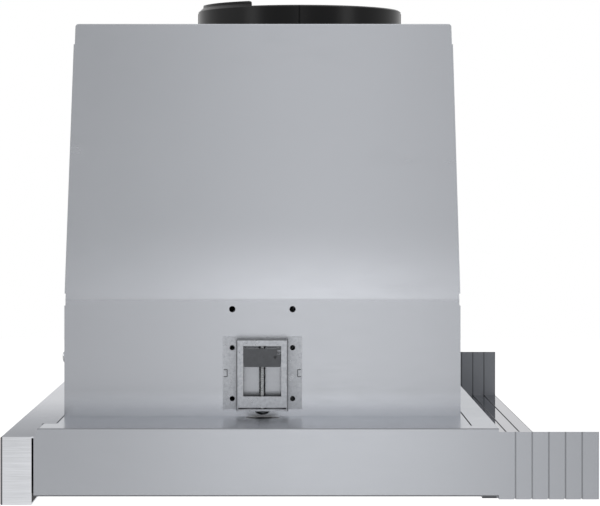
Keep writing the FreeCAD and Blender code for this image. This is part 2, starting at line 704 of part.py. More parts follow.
# Cabinet clamps
def bracket():
    """Pressed plate with a raised clamp housing: a window in its face, and a gap over its bottom tab."""
    face_x = HALF_FOOT + CLAMP_HOUSING_DEPTH
    plate_z = (BRACKET_BOTTOM, BRACKET_BOTTOM + BRACKET_HEIGHT)
    plate = box((HALF_FOOT, HALF_FOOT + BRACKET_SHEET), about(BRACKET_Y, BRACKET_WIDTH), plate_z)
    raised_z = (plate_z[0], plate_z[1] - CLAMP_HOUSING_EDGE)
    hollow_width = CLAMP_HOUSING_WIDTH - 2 * BRACKET_SHEET
    raised = box((HALF_FOOT, face_x), about(BRACKET_Y, CLAMP_HOUSING_WIDTH), raised_z)
    face_edges = [e for e in raised.Edges if e.BoundBox.XMin > face_x - TINY]
    bends = [e for e in face_edges if e.BoundBox.ZMax > raised_z[0] + TINY]
    raised = raised.makeFillet(BRACKET_SHEET, bends)
    hollow_z = (plate_z[0], raised_z[1] - BRACKET_SHEET)
    hollow = box((HALF_FOOT, face_x - BRACKET_SHEET), about(BRACKET_Y, hollow_width), hollow_z)
    window_top = raised_z[1] - CLAMP_WINDOW_DROP + CLAMP_HOUSING_EDGE
    window_z = (window_top - CLAMP_WINDOW_HEIGHT, window_top)
    window = box((HALF_FOOT, face_x), about(BRACKET_Y, CLAMP_WINDOW_WIDTH), window_z)
    gap_z = (raised_z[0], raised_z[0] + CLAMP_FACE_GAP)
    gap = box((face_x - BRACKET_SHEET, face_x), about(BRACKET_Y, hollow_width), gap_z)
    body = plate.fuse(raised).cut(hollow).cut(window).cut(gap)
    tab_x = (HALF_FOOT + CLAMP_TAB_RECESS, face_x - BRACKET_SHEET)
    tab_z = (raised_z[0], raised_z[0] + BRACKET_SHEET)
    body = body.fuse(box(tab_x, about(BRACKET_Y, hollow_width), tab_z))
    body = body.cut(rod_z(CLAMP_SCREW_R + CLAMP_SCREW_FIT, (CLAMP_SCREW_X, BRACKET_Y), tab_z))
    through = (HALF_FOOT, HALF_FOOT + BRACKET_SHEET)
    for place in bracket_places():
        body = body.cut(rod_x(BRACKET_HOLE_R, place, through))
    for side in (-1, 1):
        edge = BRACKET_Y + side * (BRACKET_WIDTH / 2 - LANCE_INSET)
        root = edge - side * LANCE_DEPTH
        arms = sorted((edge, root))
        upright = sorted((root, root - side * LANCE_WIDTH))
        body = body.cut(box(through, upright, about(BRACKET_MID, LANCE_HEIGHT)))
        for end in about(BRACKET_MID, LANCE_HEIGHT - LANCE_WIDTH):
            body = body.cut(box(through, arms, about(end, LANCE_WIDTH)))
    return body


def clamp_block():
    """Jaw that rides on the clamp screw and slides in the bracket's window."""
    face_x = HALF_FOOT + CLAMP_HOUSING_DEPTH
    plate_top = BRACKET_BOTTOM + BRACKET_HEIGHT
    top = plate_top - CLAMP_WINDOW_DROP - CLAMP_BLOCK_DROP
    block_z = (top - CLAMP_BLOCK_HEIGHT, top)
    width = CLAMP_WINDOW_WIDTH - 2 * CLAMP_BLOCK_FIT
    block_x = (HALF_FOOT + CLAMP_BLOCK_BACK, face_x)
    block = box(block_x, about(BRACKET_Y, width), block_z)
    bottom = [e for e in block.Edges if e.BoundBox.ZMax < block_z[0] + TINY]
    lower = [e for e in bottom if e.BoundBox.XLength > TINY]
    block = block.makeFillet(CLAMP_BLOCK_CORNER, lower)
    notch_y = BRACKET_Y + width / 2
    notch_top = top - CLAMP_NOTCH_DROP
    notch = box(block_x, (notch_y - CLAMP_NOTCH, notch_y), (notch_top - CLAMP_NOTCH_HEIGHT, notch_top))
    pip_x = (face_x - CLAMP_PIP_DEPTH, face_x)
    pip = rod_x(CLAMP_PIP_R, (notch_y - CLAMP_PIP_INSET, top - CLAMP_PIP_DROP), pip_x)
    bore = rod_z(CLAMP_SCREW_R + CLAMP_SCREW_FIT, (CLAMP_SCREW_X, BRACKET_Y), block_z)
    return block.cut(notch).cut(pip).cut(bore)


def clamp_screw():
    """Vertical screw with a flanged hexagon head under the bracket's bottom tab."""
    seat = BRACKET_BOTTOM - CLAMP_SCREW_FIT
    tip = BRACKET_BOTTOM + BRACKET_HEIGHT - CLAMP_HOUSING_EDGE - BRACKET_SHEET - CLAMP_SCREW_TIP_GAP
    place = (CLAMP_SCREW_X, BRACKET_Y)
    shank = rod_z(CLAMP_SCREW_R, place, (seat - CLAMP_HEAD_RISE, tip))
    flange = rod_z(CLAMP_HEAD_R, place, (seat - CLAMP_HEAD_RISE, seat))
    corners = [math.radians(60 * corner) for corner in range(6)]
    hexagon = [(place[0] + CLAMP_HEX_R * math.cos(a), place[1] + CLAMP_HEX_R * math.sin(a)) for a in corners]
    low = seat - CLAMP_HEAD_RISE - CLAMP_HEX_RISE
    head = prism_along_z(hexagon, (low, seat - CLAMP_HEAD_RISE))
    return shank.multiFuse([flange, head])


# Blower
def spiral_radius(angle):
    share = (angle - SCROLL_START_ANGLE) / (SCROLL_END_ANGLE - SCROLL_START_ANGLE)
    return SCROLL_START_R + (SCROLL_END_R - SCROLL_START_R) * share


def outer_start_angle():
    """Where the outside of the scroll wall begins, a sheet's thickness from the inside's start."""
    return SCROLL_START_ANGLE + math.degrees(math.asin(SCROLL_SHEET / (SCROLL_START_R + SCROLL_SHEET)))


def spiral_edge(x, offset, first):
    """Curve of the scroll wall from an angle near its tongue round to its outlet side."""
    points = []
    for step in range(SCROLL_POINTS + 1):
        angle = first + (SCROLL_END_ANGLE - first) * step / SCROLL_POINTS
        radius = spiral_radius(angle) + offset
        turn = math.radians(angle)
        points.append(V(x, WHEEL_Y + radius * math.cos(turn), WHEEL_Z + radius * math.sin(turn)))
    curve = Part.BSplineCurve()
    curve.interpolate(points)
    return curve.toShape(), points[0], points[-1]


def scroll_wrap():
    """Spiral wall that opens from the tongue to the outlet under the collar."""
    x = -SCROLL_HALF
    inner, inner_start, inner_end = spiral_edge(x, 0.0, SCROLL_START_ANGLE)
    outer, outer_start, outer_end = spiral_edge(x, SCROLL_SHEET, outer_start_angle())
    corners = [inner_end, V(x, inner_end.y, SCROLL_TOP), V(x, outer_end.y, SCROLL_TOP), outer_end]
    edges = [inner] + [Part.LineSegment(a, b).toShape() for a, b in zip(corners, corners[1:])] + [outer]
    corners = [outer_start, V(x, outer_start.y, SCROLL_TOP), V(x, inner_start.y, SCROLL_TOP), inner_start]
    edges += [Part.LineSegment(a, b).toShape() for a, b in zip(corners, corners[1:])]
    wire = Part.Wire(Part.__sortEdges__(edges))
    return Part.Face(wire).extrude(V(2 * SCROLL_HALF, 0, 0))


def scroll_side():
    """Side plate of the scroll with a rolled inlet eye and two ears up to the top panel."""
    outer, start, end = spiral_edge(SCROLL_HALF, SCROLL_SHEET, outer_start_angle())
    corners = [end, V(SCROLL_HALF, end.y, SCROLL_TOP), V(SCROLL_HALF, start.y, SCROLL_TOP), start]
    edges = [outer] + [Part.LineSegment(a, b).toShape() for a, b in zip(corners, corners[1:])]
    plate = Part.Face(Part.Wire(Part.__sortEdges__(edges))).extrude(V(SCROLL_SHEET, 0, 0))
    outside = SCROLL_HALF + SCROLL_SHEET
    roll_r = INLET_EYE_R + INLET_ROLL_R
    plate = plate.cut(rod_x(roll_r, (WHEEL_Y, WHEEL_Z), (SCROLL_HALF, outside)))
    roll = turned_x(
        [
            (outside, roll_r),
            (outside, roll_r + SCROLL_SHEET),
            (SCROLL_HALF, roll_r + SCROLL_SHEET),
            (SCROLL_HALF - INLET_ROLL_R, INLET_EYE_R + SCROLL_SHEET),
            (SCROLL_HALF - INLET_ROLL_R, INLET_EYE_R),
        ],
        (WHEEL_Y, WHEEL_Z),
    )
    pieces = [roll]
    foot_x = (SCROLL_HALF, outside + SCROLL_EAR_REACH)
    for ear in ((start.y, start.y + SCROLL_EAR), (end.y - SCROLL_EAR, end.y)):
        pieces.append(box((SCROLL_HALF, outside), ear, (SCROLL_TOP, PANEL_TOP)))
        pieces.append(box(foot_x, ear, (PANEL_TOP - SCROLL_SHEET, PANEL_TOP)))
    return plate.multiFuse(pieces)


def blade_point(radius, angle, x):
    turn = math.radians(angle)
    return V(x, WHEEL_Y + radius * math.cos(turn), WHEEL_Z + radius * math.sin(turn))


def blade():
    """One forward-curved blade: two arcs a sheet apart, as long as the wheel is wide."""
    x = -WHEEL_HALF
    middle = (WHEEL_R + WHEEL_INNER_R) / 2
    sides = []
    for shift in (0.0, math.degrees(BLADE_SHEET / middle)):
        inner = blade_point(WHEEL_INNER_R, shift, x)
        bulge = blade_point(middle, shift + BLADE_SWEEP / 2 - BLADE_CAMBER, x)
        outer = blade_point(WHEEL_R, shift + BLADE_SWEEP, x)
        sides.append((Part.Arc(inner, bulge, outer).toShape(), inner, outer))
    ends = [Part.LineSegment(sides[0][end], sides[1][end]).toShape() for end in (1, 2)]
    wire = Part.Wire(Part.__sortEdges__([sides[0][0], ends[1], sides[1][0], ends[0]]))
    return Part.Face(wire).extrude(V(2 * WHEEL_HALF, 0, 0))


def impeller():
    """Double-inlet blower wheel: blades between two end rings, on a centre disc with a hub."""
    place = (WHEEL_Y, WHEEL_Z)
    disc = rod_x(WHEEL_DISC_R, place, about(0, WHEEL_DISC))
    hub = rod_x(HUB_R, place, (-HUB_LENGTH, WHEEL_DISC / 2))
    pieces = [hub]
    for x in ((-WHEEL_HALF, -WHEEL_HALF + WHEEL_RING), (WHEEL_HALF - WHEEL_RING, WHEEL_HALF)):
        ring = rod_x(WHEEL_R + BLADE_SHEET, place, x)
        pieces.append(ring.cut(rod_x((WHEEL_R + WHEEL_INNER_R) / 2, place, x)))
    single = blade()
    for number in range(BLADE_COUNT):
        copy = single.copy()
        copy.rotate(V(0, WHEEL_Y, WHEEL_Z), X_AXIS, 360.0 / BLADE_COUNT * number)
        pieces.append(copy)
    wheel = disc.multiFuse(pieces)
    return wheel.cut(rod_x(SHAFT_R + SHAFT_FIT, place, (-HUB_LENGTH, WHEEL_DISC)))


def motor_shaft():
    return rod_x(SHAFT_R, (WHEEL_Y, WHEEL_Z), (-HUB_LENGTH, SCROLL_HALF - MOTOR_BEVEL))


def motor():
    """Motor can inside the wheel's eye, bored for its shaft."""
    front = MOTOR_GAP
    back = SCROLL_HALF + SCROLL_SHEET
    bore = SHAFT_R + SHAFT_FIT
    can = turned_x(
        [
            (front, bore),
            (front, MOTOR_R - MOTOR_BEVEL),
            (front + MOTOR_BEVEL, MOTOR_R),
            (back - MOTOR_BEVEL, MOTOR_R),
            (back, MOTOR_R - MOTOR_BEVEL),
            (back, bore),
        ],
        (WHEEL_Y, WHEEL_Z),
    )
    return can


def motor_bracket():
    """Three-armed sheet spider that carries the motor across the inlet eye."""
    x = (SCROLL_HALF + SCROLL_SHEET, SCROLL_HALF + SCROLL_SHEET + SPIDER_SHEET)
    place = (WHEEL_Y, WHEEL_Z)
    arms = []
    for number in range(SPIDER_ARMS):
        arm = box(x, about(WHEEL_Y, SPIDER_ARM), (WHEEL_Z, WHEEL_Z + SPIDER_REACH))
        arm.rotate(V(0, WHEEL_Y, WHEEL_Z), X_AXIS, 360.0 / SPIDER_ARMS * number)
        arms.append(arm)
    return rod_x(SPIDER_R, place, x).multiFuse(arms).cut(rod_x(SPIDER_HOLE_R, place, x))


def run_capacitor():
    place = blade_point(CAPACITOR_OFFSET, CAPACITOR_ANGLE, 0.0)
    outside = -SCROLL_HALF - SCROLL_SHEET
    return rod_x(CAPACITOR_R, (place.y, place.z), (outside - CAPACITOR_LENGTH, outside))


def control_limits():
    back = PANEL_BACK - HOUSING_SHEET
    x = (CONTROL_X, CONTROL_X + CONTROL_WIDTH)
    return x, (back - CONTROL_DEPTH, back), (CONTROL_TOP - CONTROL_HEIGHT, CONTROL_TOP)


def control_box():
    """Open-fronted box for the circuit board, on the back panel."""
    x, y, z = control_limits()
    hollow_x = (x[0] + CONTROL_WALL, x[1] - CONTROL_WALL)
    hollow_z = (z[0] + CONTROL_WALL, z[1] - CONTROL_WALL)
    return box(x, y, z).cut(box(hollow_x, (y[0], y[1] - CONTROL_WALL), hollow_z))


def control_cover():
    x, y, z = control_limits()
    return box(x, (y[0] - CONTROL_COVER, y[0]), z)


# Telescopic rails, each a C-shaped section nested in the one outside it
def rail(web, reach, half_height):
    """C section with its web at one X place and its flanges reaching to another."""
    inside = web + math.copysign(RAIL_SHEET, reach - web)
    outline = [(web, -half_height), (reach, -half_height), (reach, RAIL_SHEET - half_height)]
    outline += [(inside, RAIL_SHEET - half_height), (inside, half_height - RAIL_SHEET)]
    outline += [(reach, half_height - RAIL_SHEET), (reach, half_height), (web, half_height)]
    placed = [(x, RAIL_Z + z) for x, z in outline]
    return prism_along_y(placed, (RAIL_FRONT, RAIL_FRONT + RAIL_LENGTH))


def outer_rail():
    return rail(HALF_BASE_INSIDE, HALF_BASE_INSIDE - RAIL_REACH, RAIL_HEIGHT / 2)


def mid_rail():
    web = HALF_BASE_INSIDE - RAIL_SHEET - RAIL_PLAY
    return rail(web, web - RAIL_REACH, RAIL_HEIGHT / 2 - RAIL_SHEET - RAIL_PLAY)


def inner_rail():
    half_height = RAIL_HEIGHT / 2 - 2 * RAIL_SHEET - 2 * RAIL_PLAY
    return rail(HALF_DRAWER, HALF_DRAWER + RAIL_REACH - RAIL_PLAY, half_height)


# Drawer
def front_trim():
    """Folded trim: front, ends and bottom lip open at the back, and a top that runs back under the ledge."""
    outer = box((-HALF_BASE, HALF_BASE), (TRIM_FRONT, TRIM_BACK), (TRIM_BOTTOM, TRIM_TOP))
    bends = [e for e in outer.Edges if e.BoundBox.YMax < TRIM_FRONT + TINY]
    outer = outer.makeFillet(TRIM_SHEET, bends)
    inside = HALF_BASE - TRIM_SHEET
    hollow_z = (TRIM_BOTTOM + TRIM_SHEET, TRIM_TOP - TRIM_SHEET)
    shell = outer.cut(box((-inside, inside), (TRIM_FRONT + TRIM_SHEET, TRIM_BACK), hollow_z))
    half = HALF_BASE_INSIDE - TRIM_TAIL_INSET
    tail_y = (TRIM_BACK, TRIM_BACK + TRIM_TAIL)
    return shell.fuse(box((-half, half), tail_y, (TRIM_TOP - TRIM_SHEET, TRIM_TOP)))


def drawer_front():
    half = HALF_BASE - TRIM_SHEET
    z = (TRIM_BOTTOM + TRIM_SHEET, TRIM_TOP - TRIM_SHEET)
    return box((-half, half), (TRIM_BACK - DRAWER_SHEET, TRIM_BACK), z)


def visor_panel():
    back = TRIM_BACK + DRAWER_TRAVEL + VISOR_OVERLAP
    return box((-HALF_DRAWER, HALF_DRAWER), (TRIM_BACK, back), (VISOR_BOTTOM, VISOR_TOP))


def drawer_side():
    x = (HALF_DRAWER - DRAWER_SHEET, HALF_DRAWER)
    return box(x, (TRIM_BACK, DRAWER_BACK), (FLOOR_TOP, VISOR_BOTTOM))


def drawer_rear():
    half = HALF_DRAWER - DRAWER_SHEET
    y = (DRAWER_BACK - DRAWER_SHEET, DRAWER_BACK)
    return box((-half, half), y, (FLOOR_TOP, FLOOR_TOP + REAR_WALL_HEIGHT))


def drawer_floor():
    """Floor plate with two filter openings, two lamp holes and the switch cut-out."""
    floor = (FLOOR_BOTTOM, FLOOR_TOP)
    plate = box((-HALF_DRAWER, HALF_DRAWER), (TRIM_BACK, DRAWER_BACK), floor)
    opening_y = (FILTER_FRONT - FILTER_PLAY, FILTER_BACK + FILTER_PLAY)
    for side in (-1, 1):
        opening = about(side * FILTER_X, FILTER_WIDTH + 2 * FILTER_PLAY)
        plate = plate.cut(box(opening, opening_y, floor))
        plate = plate.cut(rod_z(LAMP_R + LAMP_FIT, (side * LAMP_X, LAMP_Y), floor))
    cutout = about(SWITCH_X, SWITCH_WIDTH + 2 * SWITCH_FIT)
    return plate.cut(box(cutout, about(LAMP_Y, SWITCH_DEPTH + 2 * SWITCH_FIT), floor))


# Grease filters
def filter_frame():
    """Shallow tray with a mesh window, two rear lugs over the floor and a slot for the latch tongue."""
    x = about(FILTER_X, FILTER_WIDTH)
    y = (FILTER_FRONT, FILTER_BACK)
    tray = box(x, y, (FLOOR_BOTTOM, FILTER_TOP))
    inside_x = about(FILTER_X, FILTER_WIDTH - 2 * FILTER_SHEET)
    inside_y = (y[0] + FILTER_SHEET, y[1] - FILTER_SHEET)
    tray = tray.cut(box(inside_x, inside_y, (FLOOR_BOTTOM + FILTER_SHEET, FILTER_TOP)))
    window_x = about(FILTER_X, FILTER_WIDTH - 2 * FILTER_RIM)
    window_y = (y[0] + FILTER_LATCH_ZONE + FILTER_RIM, y[1] - FILTER_RIM)
    skin = (FLOOR_BOTTOM, FLOOR_BOTTOM + FILTER_SHEET)
    tray = tray.cut(box(window_x, window_y, skin))
    cup_y = (y[0] + CUP_SETBACK - LATCH_GAP, y[0] + CUP_SETBACK + CUP_DEPTH + LATCH_TRAVEL + LATCH_GAP)
    tray = tray.cut(box(about(FILTER_X, CUP_WIDTH + 2 * LATCH_GAP), cup_y, skin))
    slot_z = (skin[1], skin[1] + LATCH_SHEET + 2 * LATCH_GAP)
    slot = box(about(FILTER_X, TONGUE_WIDTH + 2 * LATCH_GAP), (y[0], inside_y[0]), slot_z)
    tray = tray.cut(slot)
    lugs = []
    for lug_x in about(FILTER_X, LUG_PITCH):
        lug_z = (FLOOR_TOP + LUG_GAP, FLOOR_TOP + LUG_GAP + FILTER_SHEET)
        lugs.append(box(about(lug_x, LUG_WIDTH), (y[1] - FILTER_SHEET, y[1] + LUG_LENGTH), lug_z))
    return tray.multiFuse(lugs)


def filter_mesh():
    """Pad of layered expanded aluminium that lies in the filter frame."""
    side = FILTER_SHEET + MESH_PLAY
    y = (FILTER_FRONT + FILTER_LATCH_ZONE, FILTER_BACK - side)
    bottom = FLOOR_BOTTOM + FILTER_SHEET
    return box(about(FILTER_X, FILTER_WIDTH - 2 * side), y, (bottom, bottom + MESH_HEIGHT))


def filter_latch():
    """Sliding latch: a plate in the frame, a tongue over the drawer floor and a finger cup below."""
    bottom = FLOOR_BOTTOM + FILTER_SHEET + LATCH_GAP
    top = bottom + LATCH_SHEET
    start = FILTER_FRONT + LATCH_SETBACK
    plate = box(about(FILTER_X, LATCH_WIDTH), (start, start + LATCH_DEPTH), (bottom, top))
    tongue_y = (FILTER_FRONT - FILTER_PLAY - TONGUE_LENGTH, start)
    tongue = box(about(FILTER_X, TONGUE_WIDTH), tongue_y, (bottom, top))
    cup_y = (FILTER_FRONT + CUP_SETBACK, FILTER_FRONT + CUP_SETBACK + CUP_DEPTH)
    cup = box(about(FILTER_X, CUP_WIDTH), cup_y, (FLOOR_BOTTOM, bottom))
    recess_y = (cup_y[0] + CUP_WALL, cup_y[1] - CUP_WALL)
    recess_z = (FLOOR_BOTTOM, bottom + LATCH_SHEET / 2)
    recess = box(about(FILTER_X, CUP_WIDTH - 2 * CUP_WALL), recess_y, recess_z)
    return plate.multiFuse([tongue, cup]).cut(recess)


# Lamps and switches
def lamp():
    """Round lamp can through the floor, with a flange below and a seat for its lens."""
    face = FLOOR_BOTTOM - LAMP_FLANGE
    return turned(
        [
            (0.0, face + LENS_RECESS),
            (LENS_R, face + LENS_RECESS),
            (LENS_R, face),
            (LAMP_FLANGE_R - LAMP_FLANGE, face),
            (LAMP_FLANGE_R, FLOOR_BOTTOM),
            (LAMP_R, FLOOR_BOTTOM),
            (LAMP_R, FLOOR_BOTTOM + LAMP_HEIGHT),
            (0.0, FLOOR_BOTTOM + LAMP_HEIGHT),
        ],
        (LAMP_X, LAMP_Y),
    )


def lens():
    seat = FLOOR_BOTTOM - LAMP_FLANGE + LENS_RECESS
    return rod_z(LENS_R - LENS_FIT, (LAMP_X, LAMP_Y), (seat - LENS_THICKNESS, seat))


def slider_places():
    """Left ends of the two switch slots and the travel in each: fan first, then light."""
    fan = SWITCH_LEFT + SLIDER_WALL
    light = fan + SLIDER_WIDTH + FAN_TRAVEL + 2 * SLIDER_FIT + SLIDER_WALL
    return (fan, FAN_TRAVEL), (light, LIGHT_TRAVEL)


def switch_housing():
    """Moulded switch block with a bezel under the floor and two slots."""
    bezel_z = (FLOOR_BOTTOM - SWITCH_BEZEL, FLOOR_BOTTOM)
    bezel_x = about(SWITCH_X, SWITCH_WIDTH + 2 * SWITCH_BEZEL_EDGE)
    bezel = box(bezel_x, about(LAMP_Y, SWITCH_DEPTH + 2 * SWITCH_BEZEL_EDGE), bezel_z)
    body_z = (FLOOR_BOTTOM, FLOOR_BOTTOM + SWITCH_HEIGHT)
    body = bezel.fuse(box(about(SWITCH_X, SWITCH_WIDTH), about(LAMP_Y, SWITCH_DEPTH), body_z))
    slot_z = (bezel_z[0], FLOOR_BOTTOM + SLIDER_ROOT + SLIDER_FIT)
    for start, travel in slider_places():
        slot_x = (start, start + SLIDER_WIDTH + travel + 2 * SLIDER_FIT)
        body = body.cut(box(slot_x, about(LAMP_Y, SLIDER_DEPTH + 2 * SLIDER_FIT), slot_z))
    return body


def slider(start):
    z = (FLOOR_BOTTOM - SWITCH_BEZEL - SLIDER_RISE, FLOOR_BOTTOM + SLIDER_ROOT)
    x = (start + SLIDER_FIT, start + SLIDER_FIT + SLIDER_WIDTH)
    knob = box(x, about(LAMP_Y, SLIDER_DEPTH), z)
    grip = [e for e in knob.Edges if e.BoundBox.ZMax < z[0] + TINY and e.BoundBox.YLength > TINY]
    return knob.makeChamfer(SLIDER_BEVEL, grip)


def build():
    os.makedirs("parts", exist_ok=True)
    save_pair("housing_side", housing_side())
    save("housing_front", housing_front())
    save("housing_back", housing_panel(PANEL_BACK, -1))
    save("housing_screws", housing_screws())
    save("top_panel", top_panel())
    save("duct_collar", duct_collar())
    save("damper_pin", damper_pin())
    save("damper_flap_front", damper_flap(-1, 0.0))
    save("damper_flap_rear", damper_flap(1, DAMPER_KNUCKLE_PITCH / 2))
    save("inlet_grommet", inlet_grommet())
    save("base_top", base_top())
    save_pair("base_side", base_side())
    save("base_rear", base_rear())
    save("rear_spacer", rear_spacer())
    save_pair("bracket", bracket())
    save_pair("clamp_block", clamp_block())
    save_pair("clamp_screw", clamp_screw())
    save("scroll_wrap", scroll_wrap())
    save_pair("scroll_side", scroll_side())
    save("impeller", impeller())
    save("motor_shaft", motor_shaft())
    save("motor", motor())
    save("motor_bracket", motor_bracket())
    save("run_capacitor", run_capacitor())
    save("control_box", control_box())
    save("control_cover", control_cover())
    save_pair("outer_rail", outer_rail())
    save_pair("mid_rail", mid_rail())
    save_pair("inner_rail", inner_rail())
    save("front_trim", front_trim())
    save("drawer_front", drawer_front())
    save("visor_panel", visor_panel())
    save_pair("drawer_side", drawer_side())
    save("drawer_rear", drawer_rear())
    save("drawer_floor", drawer_floor())
    save_pair("filter_frame", filter_frame())
    save_pair("filter_mesh", filter_mesh())
    save_pair("filter_latch", filter_latch())
    save_pair("lamp", lamp())
    save_pair("lens", lens())
    save("switch_housing", switch_housing())
    (fan_start, _), (light_start, _) = slider_places()
    save("fan_slider", slider(fan_start))
    save("light_slider", slider(light_start))


build()
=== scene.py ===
import json
import math
import bmesh
import bpy
from mathutils import Matrix, Vector


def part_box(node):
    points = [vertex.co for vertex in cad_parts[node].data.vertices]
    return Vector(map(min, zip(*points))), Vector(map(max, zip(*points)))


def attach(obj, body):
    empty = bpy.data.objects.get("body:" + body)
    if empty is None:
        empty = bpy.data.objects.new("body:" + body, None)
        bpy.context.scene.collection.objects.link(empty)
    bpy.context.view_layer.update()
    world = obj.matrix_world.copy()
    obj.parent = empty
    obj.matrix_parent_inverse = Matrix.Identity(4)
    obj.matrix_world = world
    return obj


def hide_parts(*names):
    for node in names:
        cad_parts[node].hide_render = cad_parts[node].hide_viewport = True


# Pull-out range hood, dressed and lit for a side view like the photograph's. Lengths are in metres.
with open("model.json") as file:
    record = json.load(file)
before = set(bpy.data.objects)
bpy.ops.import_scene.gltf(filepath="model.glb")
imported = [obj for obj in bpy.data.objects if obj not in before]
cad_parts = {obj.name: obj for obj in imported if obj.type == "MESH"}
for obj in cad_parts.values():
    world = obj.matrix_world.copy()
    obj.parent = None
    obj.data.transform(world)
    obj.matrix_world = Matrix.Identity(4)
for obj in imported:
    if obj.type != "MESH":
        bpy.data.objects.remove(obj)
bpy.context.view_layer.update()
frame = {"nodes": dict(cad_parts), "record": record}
nodes = frame["nodes"]
scene = bpy.context.scene

# Camera, square to the hood's side. Its picture is measured in pixels and its sensor in millimetres.
IMAGE_SIZE = (600, 506)
VANISHING_POINT = (283.6, 188.8)
FOCAL_PIXELS = 2575.0
CAMERA_PLACE = (1.925, -0.0119, -0.1094)
CAMERA_REACH = 60.0
SENSOR_WIDTH = 36.0

# Tones, as linear colours
SHEET_TONE = (0.290, 0.2995, 0.319)
TRIM_TONE = (0.56, 0.57, 0.593)
SPACER_PAINTED_SHADE_TONE = (0.138, 0.144, 0.156)
ZINC_TONE = (0.40, 0.415, 0.44)
BRACKET_TONE = (0.298, 0.308, 0.328)
TAB_PAINTED_LIGHT_TONE = (0.52, 0.53, 0.55)
HOLE_WALL_PAINTED_LIGHT_TONE = (0.9, 0.91, 0.93)
JAW_DARK_TONE = (0.03, 0.031, 0.034)
JAW_PALE_TONE = (0.135, 0.14, 0.15)
JAW_GROUND_PAINTED_LIGHT_TONE = (0.84, 0.85, 0.87)
RUBBER_TONE = (0.014, 0.014, 0.015)
RUBBER_DUST_TONE = (0.035, 0.035, 0.036)
PAINT_TONE = (0.022, 0.023, 0.026)
PAINT_DUST_TONE = (0.05, 0.052, 0.056)
ALUMINIUM_TONE = (0.62, 0.63, 0.64)
LENS_TONE = (0.78, 0.79, 0.78)
LENS_FROST_TONE = (0.88, 0.89, 0.88)
BLACK_TONE = (0.012, 0.012, 0.0135)
WHITE_TONE = (1, 1, 1)
FLOOR_TONE = (0.8, 0.8, 0.8)

# Tints of the gloss at a grazing view
SHEET_TINT = (0.78, 0.8, 0.83)
LEDGE_TINT = (0.88, 0.9, 0.94)
TRIM_TINT = (0.66, 0.67, 0.7)
SPACER_TINT = (0.72, 0.72, 0.74)

# Places of edges that a finish follows, and how softly it changes there
EDGE_FADE = 0.0004
PATCH_FADE = 0.0005
LINE_FADE = 0.0003
SHADOW_LINE_WIDTH = 0.0009
FOLD_PLACE = -0.1796
FOLD_SWEEP = 0.05
FOLD_SWEEP_DEPTH = 0.0019
SIDE_WAVE_DEPTH = 0.0001
FOOT_PLACE = -0.2412
FOOT_FADE = 0.0086
LEDGE_FRONT = -0.1514
EAR_PLACE = 0.3465
EAR_FRONT = -0.1595
EAR_FADE = 0.008
ACCESS_HOLE = (0.3045, -0.0253)
ACCESS_HOLE_REACH = 0.012
BASE_SIDE_TOP = -0.2537
BASE_SIDE_BOTTOM = -0.2933
TRIM_CAP_START = 0.3768
TRIM_CAP_FRONT = -0.1807
TRIM_PAINTED_SHEEN_PLACE = -0.266
TRIM_PAINTED_SHEEN_FADE = 0.018
TRIM_DULL_SHADE_START = 0.23
TRIM_DULL_SHADE_FADE = 0.3
BRACKET_MIDDLE = (-0.0253, -0.2260)
BRACKET_HALF = (0.0245, 0.0223)
WINDOW_HALF = (0.0135, 0.019)
TAB_PLACE = -0.236
TAB_FADE = 0.002
SCORE_START = 0.1273
SCORE_PITCH = 0.010
SCORE_HALF = 0.00045
SCORE_START_FADE = 0.0001
SPACER_TONGUE = 0.1165
SPACER_MIDDLE_FADE = 0.02
PARTING_PLACE = -0.0007
PARTING_HALF = 0.0004
PARTING_DEPTH = 0.0003
LENS_MIDDLE = (0.240, -0.1352)
LENS_RING_RATE = 2400.0

# Filter mesh: rows of zigzag strands in crossed layers
DIAMOND_LENGTH = 0.0112
STRAND_PITCH = 0.0056
STRAND_WIDTH = 0.0013
STRAND_THICKNESS = 0.0006
STRAND_TILT = 0.5
STRAND_SWING = 0.96
MESH_EDGE_GAP = 0.002
MESH_LAYERS = 3
LAYER_START = 0.0009
LAYER_RISE = 0.002

# Screws: an outline is a row of radii and places along the screw, head first
RECESS_FOOT = 0.0003
RECESS_MOUTH = 0.0007
RECESS_DEPTH = 0.0016
RECESS_STRETCH = 3.0
RECESS_TURN = 0.11
SCREW_STEPS = 28
MERGE_DISTANCE = 1e-6
CLAMP_HEAD_RISE = 0.0025
CLAMP_HEAD_DOME = [(0.0, -CLAMP_HEAD_RISE), (0.0016, -0.0024), (0.0030, -0.0020), (0.0041, -0.0013)]
CLAMP_HEAD_RIM = [(0.0047, -0.0006), (0.0049, 0.0), (0.0, 0.0)]
CLAMP_RECESS_PLACE = 0.0019
CLAMP_RECESS_SCALE = 1.2
THREAD_CREST = 0.00208
THREAD_ROOT = 0.00168
THREAD_RISE = 0.0014
THREAD_START = 0.003
THREAD_PLAIN_LENGTH = 0.004
THREAD_STEPS = 18
THREAD_SECTION_STEPS = 6
SHANK_STEPS = 24
PANEL_HEAD_RISE = 0.0016
PANEL_HEAD_RADIUS = 0.0036
PANEL_HEAD_DOME = [(0.0, -PANEL_HEAD_RISE), (0.0018, -0.00155), (0.0029, -0.0012), (0.0035, -0.0005)]
PANEL_HEAD_RIM = [(PANEL_HEAD_RADIUS, 0.0), (0.0017, 0.0)]
PANEL_SCREW_POINT = [(0.0017, 0.0064), (0.0004, 0.0069), (0.0, 0.0069)]
PANEL_RECESS_PLACE = 0.0011
PANEL_SCREW_TURN = 0.35

# Grip ribs of the slide switches
RIB_COUNT = 4
RIB_PITCH = 0.0013
RIB_WIDTH = 0.0006
RIB_HEIGHT = 0.0006
RIB_END_GAP = 0.0008

